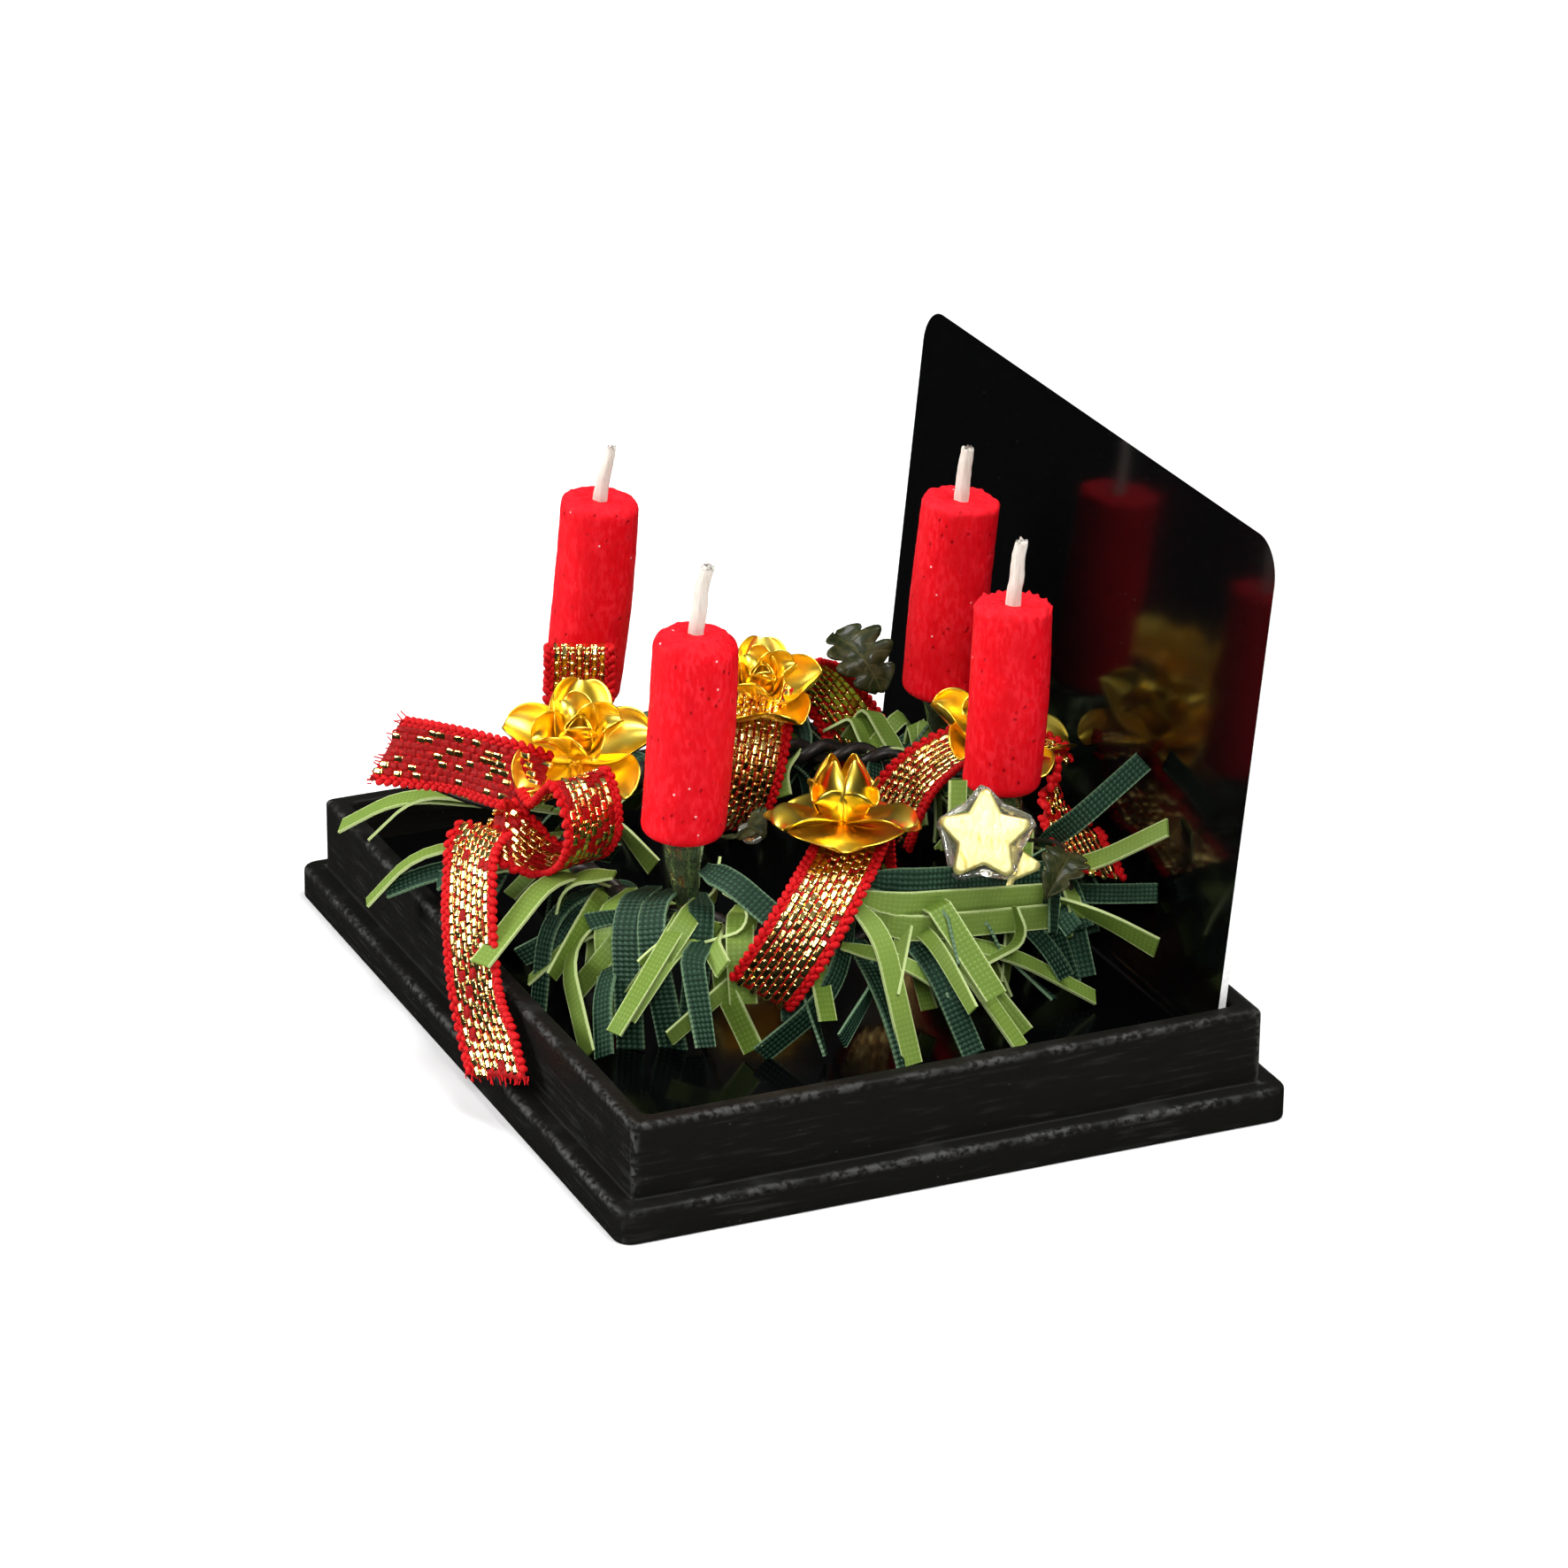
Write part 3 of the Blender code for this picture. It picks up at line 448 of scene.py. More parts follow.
@dataclass(frozen=True)
class StripVinyl(Finish):
    """Green plastic strip with an embossed net, its raised lines painted paler in patches as a painted highlight, and
    pale, torn cut edges.
    """

    colour: Colour
    # paler green: a worn tone at random, and the painted highlight on the net
    worn_and_lit: Colour
    cut_edge: Colour
    net_depth: float
    net_share: float
    net_pitch: float = 0.46 * MM

    def make(self, surface: Surface) -> bpy.types.Material:
        """Build the material."""
        across = surface.attribute("across")
        along = surface.attribute("along")
        tone = surface.attribute("tone")
        pitch = 2.0 * math.pi / self.net_pitch
        half_width = 0.55 * MM
        first = (along + across * half_width) * pitch
        second = (along - across * half_width) * pitch
        net = (first.sine() * second.sine()) * 0.5 + 0.5
        fine = surface.grain(0.09 * MM, 3.0)
        patches = surface.grain(1.1 * MM, 3.0)
        torn = (across.size() + fine * 0.16).rise(0.93, 1.04)
        colour = surface.blend(tone * 0.55, self.colour, self.worn_and_lit)
        # painted highlight: the raised lines of the net are painted paler, in patches
        lit = net.rise(0.50, 0.90) * self.net_share * patches.rise(0.25, 0.55)
        colour = surface.blend(lit, colour, self.worn_and_lit)
        colour = surface.blend(torn * 0.8, colour, self.cut_edge)
        return surface.finish({
            "Base Color": colour,
            "Roughness": 0.36 + fine * 0.18 + tone * 0.08,
            "Specular IOR Level": 0.16,
            "Normal": surface.relief(net * self.net_share + fine * 0.25, self.net_depth),
        })


@dataclass(frozen=True)
class RoseFoil(Finish):
    """Polished gold foil with fine draw marks."""

    colour: Colour = (1.0, 0.80, 0.13)
    deep: Colour = (1.0, 0.64, 0.045)

    def make(self, surface: Surface) -> bpy.types.Material:
        """Build the material."""
        dents = surface.grain(1.5 * MM, 1.5)
        fine = surface.grain(0.05 * MM, 3.0, surface.place * (1.0, 0.3, 1.0))
        scuffs = surface.grain(0.9 * MM, 4.0).rise(0.52, 0.75)
        return surface.finish({
            "Base Color": surface.blend(dents.rise(0.3, 0.7), self.colour, self.deep),
            "Metallic": 1.0,
            "Roughness": 0.29 + scuffs * fine * 0.12,
            "Normal": surface.relief(dents + fine * 0.02, 0.006 * MM),
        })


@dataclass(frozen=True)
class LurexGold(Finish):
    """Flat gold lurex floats, some of them dull."""

    colour: Colour = (1.0, 0.76, 0.26)
    deep: Colour = (0.62, 0.20, 0.035)

    def make(self, surface: Surface) -> bpy.types.Material:
        """Build the material."""
        tone = surface.attribute("tone")
        fine = surface.grain(0.08 * MM, 2.0)
        return surface.finish({
            "Base Color": surface.blend(tone.rise(0.70, 1.0) * 0.8, self.colour, self.deep),
            "Metallic": 1.0,
            "Roughness": 0.09 + tone * 0.10,
            "Normal": surface.relief(fine, 0.008 * MM),
        })


@dataclass(frozen=True)
class RibbonYarn(Finish):
    """Red filament yarn, fine fibres with a soft sheen."""

    colour: Colour = (0.62, 0.0025, 0.006)
    deep: Colour = (0.20, 0.0008, 0.002)
    lit: Colour = (0.86, 0.022, 0.022)

    def make(self, surface: Surface) -> bpy.types.Material:
        """Build the material."""
        fibres = surface.grain(0.045 * MM, 3.0)
        clumps = surface.grain(0.20 * MM, 2.0)
        colour = surface.blend(fibres.rise(0.3, 0.6), self.deep, self.colour)
        colour = surface.blend(clumps.rise(0.52, 0.75) * 0.55, colour, self.lit)
        return surface.finish({
            "Base Color": colour,
            "Roughness": 0.50,
            "Specular IOR Level": 0.12,
            "Sheen Weight": 0.06,
            "Sheen Roughness": 0.4,
            "Sheen Tint": (1.0, 0.15, 0.12, 1.0),
            "Normal": surface.relief(fibres + clumps * 0.6, 0.020 * MM),
        })


@dataclass(frozen=True)
class StarGold(Finish):
    """Pale gold metallised plastic, drawn out in one direction."""

    colour: Colour = (0.94, 0.83, 0.33)
    deep: Colour = (0.60, 0.42, 0.06)

    def make(self, surface: Surface) -> bpy.types.Material:
        """Build the material."""
        drawn = surface.grain(0.30 * MM, 3.0, surface.place * (1.0, 1.0, 0.10))
        streaks = drawn.rise(0.52, 0.66) * surface.grain(0.9 * MM, 2.0).rise(0.40, 0.60)
        return surface.finish({
            "Base Color": surface.blend(streaks * 0.85, self.colour, self.deep),
            "Metallic": 0.70,
            "Roughness": 0.38 + drawn * 0.16,
            "Normal": surface.relief(drawn, 0.045 * MM),
        })


@dataclass(frozen=True)
class ClearGlue(Finish):
    """Clear hot glue, lumpy and a little yellow."""

    colour: Colour = (0.97, 0.96, 0.86)

    def make(self, surface: Surface) -> bpy.types.Material:
        """Build the material."""
        lumps = surface.grain(0.5 * MM, 2.0)
        return surface.finish({
            "Base Color": self.colour,
            "Roughness": 0.05 + lumps * 0.05,
            "IOR": 1.46,
            "Transmission Weight": 0.92,
            "Normal": surface.relief(lumps, 0.06 * MM),
        })


@dataclass(frozen=True)
class HollyLeaf(Finish):
    """Dark glossy leaf with paler veins."""

    colour: Colour = (0.012, 0.018, 0.004)
    vein: Colour = (0.055, 0.055, 0.016)

    def make(self, surface: Surface) -> bpy.types.Material:
        """Build the material."""
        across = surface.attribute("across")
        along = surface.attribute("along")
        blotch = surface.grain(0.6 * MM, 3.0)
        rib = 1.0 - across.size().rise(0.02, 0.10)
        side = ((along + across.size() * 0.6 * MM) * (2.0 * math.pi / (0.55 * MM))).sine().rise(0.75, 1.0)
        veins = rib.at_least(side * 0.5)
        colour = surface.blend(blotch.rise(0.4, 0.7) * 0.5, self.colour, (0.075, 0.065, 0.020))
        return surface.finish({
            "Base Color": surface.blend(veins * 0.7, colour, self.vein),
            "Roughness": 0.42 + blotch * 0.2,
            "Specular IOR Level": 0.16,
            "Coat Weight": 0.15,
            "Coat Roughness": 0.12,
            "Normal": surface.relief(blotch * 0.5 - veins * 0.6, 0.06 * MM),
        })


@dataclass(frozen=True)
class DarkWire(Finish):
    """Thin dark iron wire."""

    colour: Colour = (0.022, 0.020, 0.018)

    def make(self, surface: Surface) -> bpy.types.Material:
        """Build the material."""
        rust = surface.grain(0.3 * MM, 3.0)
        return surface.finish({
            "Base Color": surface.blend(rust.rise(0.5, 0.7) * 0.6, self.colour, (0.07, 0.035, 0.02)),
            "Metallic": 0.6,
            "Roughness": 0.35 + rust * 0.2,
        })


@dataclass(frozen=True)
class PaleFloor(Finish):
    """The plain pale floor."""

    colour: Colour = (0.90, 0.90, 0.90)

    def make(self, surface: Surface) -> bpy.types.Material:
        """Build the material."""
        return surface.finish({"Base Color": self.colour, "Roughness": 0.9, "Specular IOR Level": 0.2})


class Recipe(Graph):
    """A geometry node tree with named inputs, which turns a carrier mesh into a piece."""

    def __init__(self, name: str, sizes: Mapping[str, str]) -> None:
        """Make the tree and its sockets.

        Args:
            name: the tree's name.
            sizes: each named input with its socket type.
        """
        tree = bpy.data.node_groups.new(name, "GeometryNodeTree")
        super().__init__(tree)
        tree.interface.new_socket("Geometry", in_out="INPUT", socket_type="NodeSocketGeometry")
        tree.interface.new_socket("Geometry", in_out="OUTPUT", socket_type="NodeSocketGeometry")
        for label, kind in {**sizes, "Material": "NodeSocketMaterial"}.items():
            tree.interface.new_socket(label, in_out="INPUT", socket_type=kind)
        self.entry = self.node("NodeGroupInput")
        self.exit = self.node("NodeGroupOutput")

    def given(self, label: str) -> Signal:
        """Return a named input."""
        return Signal(self, self.entry.outputs[label])

    def stored(self, name: str, vector: bool = False) -> Signal:
        """Return a named attribute of the mesh."""
        kind = "FLOAT_VECTOR" if vector else "FLOAT"
        return self.signal("GeometryNodeInputNamedAttribute", {"data_type": kind}, {"Name": name})

    def store(self, mesh: Signal, name: str, value: Signal) -> Signal:
        """Store a number on the mesh's points."""
        sockets = {"Geometry": mesh, "Name": name, "Value": value}
        settings = {"data_type": "FLOAT", "domain": "POINT"}
        return self.signal("GeometryNodeStoreNamedAttribute", settings, sockets)

    def close(self, mesh: Signal) -> None:
        """End the tree: shade smooth, set the material and put the mesh out."""
        smooth = self.signal("GeometryNodeSetShadeSmooth", {}, {"Geometry": mesh})
        sockets = {"Geometry": smooth, "Material": self.given("Material")}
        dressed = self.signal("GeometryNodeSetMaterial", {}, sockets)
        self.tree.links.new(dressed.socket, self.exit.inputs[0])

    def run(self, carrier: bpy.types.Mesh, sizes: Mapping[str, Any], finish: Finish) -> bpy.types.Mesh:
        """Run the tree on a carrier mesh.

        Args:
            carrier: the mesh whose points carry the attributes.
            sizes: a value for each named input.
            finish: what the result is made of.

        Returns:
            The result as a plain mesh.
        """
        item = bpy.data.objects.new("carrier", carrier)
        bpy.context.scene.collection.objects.link(item)
        modifier = item.modifiers.new(self.tree.name, "NODES")
        modifier.node_group = self.tree
        values = {**sizes, "Material": finish.material()}
        for socket in self.tree.interface.items_tree:
            if socket.in_out == "INPUT" and socket.name in values:
                modifier[socket.identifier] = values[socket.name]
        bpy.context.view_layer.update()
        graph = bpy.context.evaluated_depsgraph_get()
        mesh = bpy.data.meshes.new_from_object(item.evaluated_get(graph))
        bpy.data.objects.remove(item)
        return mesh


def strip_recipe() -> Recipe:
    """Build the tree that makes cut strips, each straight, then bent in an arc, then straight."""
    recipe = Recipe("cut_strips", {"Thickness": "NodeSocketFloat", "Steps": "NodeSocketInt"})
    block = recipe.signal(
        "GeometryNodeMeshCube", {}, {"Vertices X": recipe.given("Steps"), "Vertices Y": 2, "Vertices Z": 2}
    )
    split = recipe.node("ShaderNodeSeparateXYZ", {}, {0: recipe.signal("GeometryNodeInputPosition")})
    x, y, z = (Signal(recipe, output) for output in split.outputs)
    block = recipe.store(block, "share", x / 1.0 + 0.5)
    block = recipe.store(block, "across", y * 2.0)
    block = recipe.store(block, "lift", z * 1.0)
    points = {"Points": recipe.given("Geometry"), "Instance": block}
    strips = recipe.signal("GeometryNodeInstanceOnPoints", {}, points)
    strips = recipe.signal("GeometryNodeRealizeInstances", {}, {"Geometry": strips})

    length, bend = recipe.stored("length"), recipe.stored("bend")
    start, end = recipe.stored("arc_start"), recipe.stored("arc_end")
    root, first = recipe.stored("root", True), recipe.stored("first", True)
    turn, side = recipe.stored("turn", True), recipe.stored("side", True)
    share, twist = recipe.stored("share"), recipe.stored("twist")
    run = share * length
    angle = bend * ((run - start) / (end - start)).at_least(0.0).at_most(1.0)
    radius = (end - start) / bend
    after = (run - end).at_least(0.0)
    ahead = run.at_most(start) + radius * angle.sine() + after * bend.cosine()
    aside = radius * (1.0 - angle.cosine()) + after * bend.sine()
    middle = root + first * ahead + turn * aside
    face = turn * angle.cosine() - first * angle.sine()
    roll = twist * share
    width_way = side * roll.cosine() + face * roll.sine()
    face_way = face * roll.cosine() - side * roll.sine()
    wide = recipe.stored("width") * (0.55 + share.rise(0.0, 0.22) * 0.45)
    place = middle + width_way * (recipe.stored("across") * wide * 0.5)
    place = place + face_way * (recipe.stored("lift") * recipe.given("Thickness"))
    strips = recipe.signal("GeometryNodeSetPosition", {}, {"Geometry": strips, "Position": place})
    recipe.close(recipe.store(strips, "along", run * 1.0))
    return recipe


def pillow_recipe() -> Recipe:
    """Build the tree that lays small pillows, the floats and knuckles of a weave, on points.

    Squareness is the power of the pillow's outline: 2 gives a round pillow and more a boxy one.
    """
    recipe = Recipe("weave_pillows", {"Size": "NodeSocketVector", "Squareness": "NodeSocketFloat"})
    block = recipe.signal("GeometryNodeMeshCube", {}, {"Vertices X": 5, "Vertices Y": 4, "Vertices Z": 3})
    spot = recipe.signal("GeometryNodeInputPosition")
    split = recipe.node("ShaderNodeSeparateXYZ", {}, {0: spot})
    power = recipe.given("Squareness")
    x, y, z = ((Signal(recipe, output) * 2.0).size() ** power for output in split.outputs)
    swelling = (x + y + z) ** (1.0 / power)
    pillow = recipe.signal("GeometryNodeSetPosition", {}, {"Geometry": block, "Position": spot / swelling})
    turn = recipe.signal(
        "FunctionNodeAxesToRotation",
        {"primary_axis": "Z", "secondary_axis": "X"},
        {0: recipe.stored("face", True), 1: recipe.stored("ahead", True)},
    )
    sockets = {
        "Points": recipe.given("Geometry"), "Instance": pillow, "Rotation": turn,
        "Scale": recipe.given("Size") * recipe.stored("share"),
    }
    pillows = recipe.signal("GeometryNodeInstanceOnPoints", {}, sockets)
    recipe.close(recipe.signal("GeometryNodeRealizeInstances", {}, {"Geometry": pillows}))
    return recipe


def thread_recipe() -> Recipe:
    """Build the tree that winds threads round the carrier's lines and gives them a round section."""
    kinds = {"Coil radius": "NodeSocketFloat", "Thread radius": "NodeSocketFloat", "Sides": "NodeSocketInt"}
    recipe = Recipe("wound_threads", kinds)
    phase = recipe.stored("phase")
    side, face = recipe.stored("side", True), recipe.stored("face", True)
    offset = (side * phase.cosine() + face * phase.sine()) * recipe.given("Coil radius")
    moved = recipe.signal(
        "GeometryNodeSetPosition", {}, {"Geometry": recipe.given("Geometry"), "Offset": offset}
    )
    line = recipe.signal("GeometryNodeMeshToCurve", {}, {"Mesh": moved})
    ring = recipe.signal(
        "GeometryNodeCurvePrimitiveCircle",
        {"mode": "RADIUS"},
        {"Resolution": recipe.given("Sides"), "Radius": recipe.given("Thread radius")},
    )
    sockets = {"Curve": line, "Profile Curve": ring, "Fill Caps": True}
    recipe.close(recipe.signal("GeometryNodeCurveToMesh", {}, sockets))
    return recipe


def make_mesh(name: str, points: Any, faces: Sequence[Sequence[int]]) -> bpy.types.Mesh:
    """Make a smooth-shaded mesh from points and faces."""
    mesh = bpy.data.meshes.new(name)
    mesh.from_pydata(np.asarray(points, float).reshape(-1, 3).tolist(), [], faces)
    mesh.update()
    mesh.shade_smooth()
    return mesh


def grid_faces(rows: int, columns: int, wrap: bool = False) -> list[tuple[int, ...]]:
    """Return the quads of a grid of points, row after row.

    Args:
        rows: how many rows of points.
        columns: how many points in a row.
        wrap: whether each row is closed to a ring.

    Returns:
        The corners of each quad.
    """
    faces = []
    for row in range(rows - 1):
        for column in range(columns if wrap else columns - 1):
            ahead = (column + 1) % columns
            low, high = row * columns, (row + 1) * columns
            faces.append((low + column, low + ahead, high + ahead, high + column))
    return faces


def loft(name: str, rings: np.ndarray) -> bpy.types.Mesh:
    """Join rings of points to a closed solid, with a flat end at the first and the last ring."""
    rows, columns = rings.shape[:2]
    faces = grid_faces(rows, columns, wrap=True)
    faces.append(tuple(reversed(range(columns))))
    faces.append(tuple(range((rows - 1) * columns, rows * columns)))
    return make_mesh(name, rings, faces)


def store_values(mesh: bpy.types.Mesh, name: str, values: Any) -> None:
    """Store numbers or vectors on the mesh's points as a named attribute."""
    array = np.asarray(values, np.float32)
    kind, key = ("FLOAT_VECTOR", "vector") if array.ndim == 2 else ("FLOAT", "value")
    mesh.attributes.new(name, kind, "POINT").data.foreach_set(key, array.ravel())


def join_meshes(name: str, meshes: Sequence[bpy.types.Mesh]) -> bpy.types.Mesh:
    """Join meshes to one smooth-shaded mesh, with the point values of the first kept."""
    shape = bmesh.new()
    for mesh in meshes:
        shape.from_mesh(mesh)
    joined = bpy.data.meshes.new(name)
    shape.to_mesh(joined)
    shape.free()
    joined.shade_smooth()
    return joined


def add_piece(name: str, mesh: bpy.types.Mesh, *finishes: Finish) -> bpy.types.Object:
    """Put a mesh in the scene as a piece at the origin, in the given finishes."""
    mesh.name = name
    mesh.materials.clear()
    for finish in finishes:
        mesh.materials.append(finish.material())
    item = bpy.data.objects.new(name, mesh)
    bpy.context.scene.collection.objects.link(item)
    return item


def settle(item: bpy.types.Object) -> bpy.types.Object:
    """Apply the piece's modifiers to its mesh."""
    bpy.context.view_layer.update()
    graph = bpy.context.evaluated_depsgraph_get()
    mesh = bpy.data.meshes.new_from_object(item.evaluated_get(graph))
    item.modifiers.clear()
    item.data = mesh
    return item


def dress(item: bpy.types.Object, slot: Slot, *nodes: str) -> bpy.types.Object:
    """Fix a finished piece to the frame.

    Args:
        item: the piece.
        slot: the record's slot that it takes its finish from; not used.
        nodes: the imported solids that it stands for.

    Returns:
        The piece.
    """
    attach(item, BODY)
    if nodes:
        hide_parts(*nodes)
    LOG.info("%s: %d faces, stands for %s", item.name, len(item.data.polygons), nodes or "nothing")
    return item


def thicken(item: bpy.types.Object, thickness: float, offset: float = 0.0, rounds: int = 0) -> bpy.types.Object:
    """Give an open surface a wall and, if rounds is set, that many rounds of subdivision."""
    wall = item.modifiers.new("Wall", "SOLIDIFY")
    wall.thickness = thickness
    wall.offset = offset
    if rounds:
        soft = item.modifiers.new("Soft", "SUBSURF")
        soft.levels = rounds
        soft.render_levels = rounds
    return settle(item)


def rounded_path(corners: Sequence[tuple[float, float, float]], steps: int) -> list[tuple[float, float]]:
    """Return a path through corners in a plane, each rounded by an arc.

    Args:
        corners: each corner's two coordinates and its radius, 0 for a sharp one.
        steps: how many spans each arc has.

    Returns:
        The points of the path.
    """
    path = []
    last = len(corners) - 1
    for index, (a, b, radius) in enumerate(corners):
        corner = Vector((a, b))
        if radius == 0.0 or index in (0, last):
            path.append((a, b))
            continue
        back = (Vector(corners[index - 1][:2]) - corner).normalized()
        ahead = (Vector(corners[index + 1][:2]) - corner).normalized()
        half = back.angle(ahead) / 2
        middle = corner + (back + ahead).normalized() * radius / math.sin(half)
        start = corner + back * radius / math.tan(half) - middle
        end = corner + ahead * radius / math.tan(half) - middle
        for step in range(steps + 1):
            arm = start.lerp(end, step / steps).normalized() * radius
            path.append(tuple(middle + arm))
    return path


def spaced(points: Any, spacing: float) -> np.ndarray:
    """Return points at an even spacing along a line of points, with its two ends."""
    line = np.asarray(points, float)
    runs = np.concatenate(([0.0], np.cumsum(np.linalg.norm(np.diff(line, axis=0), axis=1))))
    count = max(2, int(round(runs[-1] / spacing)) + 1)
    at = np.linspace(0.0, runs[-1], count)
    return np.stack([np.interp(at, runs, line[:, axis]) for axis in range(line.shape[1])], axis=1)


def smooth_route(points: Sequence[Vector], steps: int) -> list[Vector]:
    """Return points on a smooth curve through the given vectors, steps to each span."""
    padded = [2 * points[0] - points[1], *points, 2 * points[-1] - points[-2]]
    route = []
    for before, start, end, after in zip(padded, padded[1:], padded[2:], padded[3:]):
        for step in range(steps):
            part = step / steps
            route.append(0.5 * (
                2 * start
                + (end - before) * part
                + (2 * before - 5 * start + 4 * end - after) * part ** 2
                + (3 * start - before - 3 * end + after) * part ** 3
            ))
    route.append(points[-1].copy())
    return route


def unit(vectors: np.ndarray) -> np.ndarray:
    """Scale each vector to length 1."""
    return vectors / np.linalg.norm(vectors, axis=-1, keepdims=True)


def lumps(point: Vector, size: float, seed: float = 0.0) -> float:
    """Return smooth noise from -1 to 1 with features of the given size."""
    return noise.noise(point / size + Vector((seed, 1.7 * seed, 0.3 * seed)))


@dataclass
class Tray:
    """The moulded tray: a flange, a raised wall and the recess inside it."""

    flange_height: float = 1.6 * MM
    flange_width: float = 1.0 * MM
    wall: float = 0.95 * MM
    floor: float = 2.5 * MM
    corner: float = 0.8 * MM
    recess_corner: float = 0.4 * MM
    edge_round: float = 0.24 * MM
    arc_steps: int = 6
    side_steps: int = 26

    def ring(self, half_x: float, half_y: float, corner: float, height: float) -> list[Triple]:
        """Return a rounded rectangle of points at a height."""
        points = []
        for quarter in range(4):
            sign_x, sign_y = ((1, 1), (-1, 1), (-1, -1), (1, -1))[quarter]
            middle = Vector((sign_x * (half_x - corner), sign_y * (half_y - corner)))
            for step in range(self.arc_steps + 1):
                turn = math.pi / 2 * (quarter + step / self.arc_steps)
                arm = Vector((math.cos(turn), math.sin(turn))) * corner
                points.append((*(middle + arm), height))
            following = points[-1]
            ahead_x, ahead_y = ((-1, 1), (-1, -1), (1, -1), (1, 1))[quarter]
            target = (
                (ahead_x * (half_x - corner), ahead_y * half_y, height)
                if quarter % 2 == 0 else (ahead_x * half_x, ahead_y * (half_y - corner), height)
            )
            for step in range(1, self.side_steps):
                points.append(tuple(Vector(following).lerp(Vector(target), step / self.side_steps)))
        return points

    def build(self) -> None:
        """Make the tray and dress it."""
        low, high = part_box("tray")
        half_x, half_y, rim = high.x, high.y, high.z
        soft, inner = self.edge_round, self.flange_width + self.wall
        profile = rounded_path((
            (1.5 * soft, 0.0, 0.0), (0.0, 0.0, soft / 2), (0.0, self.flange_height, soft),
            (self.flange_width, self.flange_height, soft / 2), (self.flange_width, rim, soft),
            (inner, rim, soft * 0.7), (inner, self.floor, soft / 2), (inner + soft, self.floor, 0.0),
        ), 4)
        rings = []
        for inset, height in profile:
            recess = inset > inner - soft
            corner = max(self.corner - inset, self.recess_corner if recess else soft)
            rings.append(self.ring(half_x - inset, half_y - inset, corner, height))
        finish = TrayPlastic("tray_plastic", half_x, half_y, self.flange_width, self.flange_height, rim)
        points = np.array(rings)
        for row in points.reshape(-1, 3):
            spot = Vector(row)
            row[:2] *= 1.0 + 0.0009 * lumps(spot, 5.0 * MM, 3.0)
            row[2] += 0.03 * MM * lumps(spot, 4.0 * MM, 8.0) * min(1.0, max(0.0, row[2] / MM))
        dress(add_piece("display_tray", loft("display_tray", points), finish), Slot.TRAY, "tray")


@dataclass
class Card:
    """The card, creased once into a foot and a back that leans away."""

    thickness: float = 0.35 * MM
    half_width: float = 17.85 * MM
    face_height: float = 3.15 * MM
    crease_y: float = 13.3 * MM
    crease_radius: float = 0.6 * MM
    foot_front: float = -13.7 * MM
    back_length: float = 23.25 * MM
    lean: float = math.radians(5.55)
    corner: float = 1.8 * MM
    columns: int = 25

    def section(self) -> list[tuple[float, float, float]]:
        """Return (y, z, half width) from the foot's front edge to the top of the back."""
        rows = [(self.foot_front, self.face_height, self.half_width)]
        bend = math.pi / 2 - self.lean
        setback = self.crease_radius * math.tan(bend / 2)
        rows += [(self.foot_front * (1 - part / 12) + (self.crease_y - setback) * part / 12,
                  self.face_height, self.half_width) for part in range(1, 12)]
        for step in range(9):
            turn = bend * step / 8
            y = self.crease_y - setback + self.crease_radius * math.sin(turn)
            z = self.face_height + self.crease_radius * (1 - math.cos(turn))
            rows.append((y, z, self.half_width))
        runs = [2.0 * MM + (self.back_length - self.corner - 2.0 * MM) * part / 14 for part in range(15)]
        rows += [(*self.on_back(run), self.half_width) for run in runs]
        for step in range(1, 13):
            turn = math.pi / 2 * step / 12
            run = self.back_length - self.corner * (1 - math.sin(turn))
            rows.append((*self.on_back(run), self.half_width - self.corner * (1 - math.cos(turn))))
        return rows

    def on_back(self, run: float) -> tuple[float, float]:
        """Return y and z of the back's face at a distance from the crease."""
        return (
            self.crease_y + run * math.sin(self.lean),
            self.face_height + run * math.cos(self.lean),
        )

    def build(self) -> None:
        """Make the card and dress it, its cut edges white."""
        across = np.linspace(-1.0, 1.0, self.columns)
        rows = self.section()
        points = [[(half * share, y, z) for share in across] for y, z, half in rows]
        mesh = make_mesh("folded_card", points, grid_faces(len(rows), self.columns))
        item = add_piece("folded_card", mesh, CoatedCard("card_gloss"), CardCore("card_core"))
        wall = item.modifiers.new("Sheet", "SOLIDIFY")
        wall.thickness = self.thickness
        wall.offset = -1.0
        wall.material_offset_rim = 1
        settle(item)
        item.data.set_sharp_from_angle(angle=math.radians(40))
        dress(item, Slot.CARD, "card")


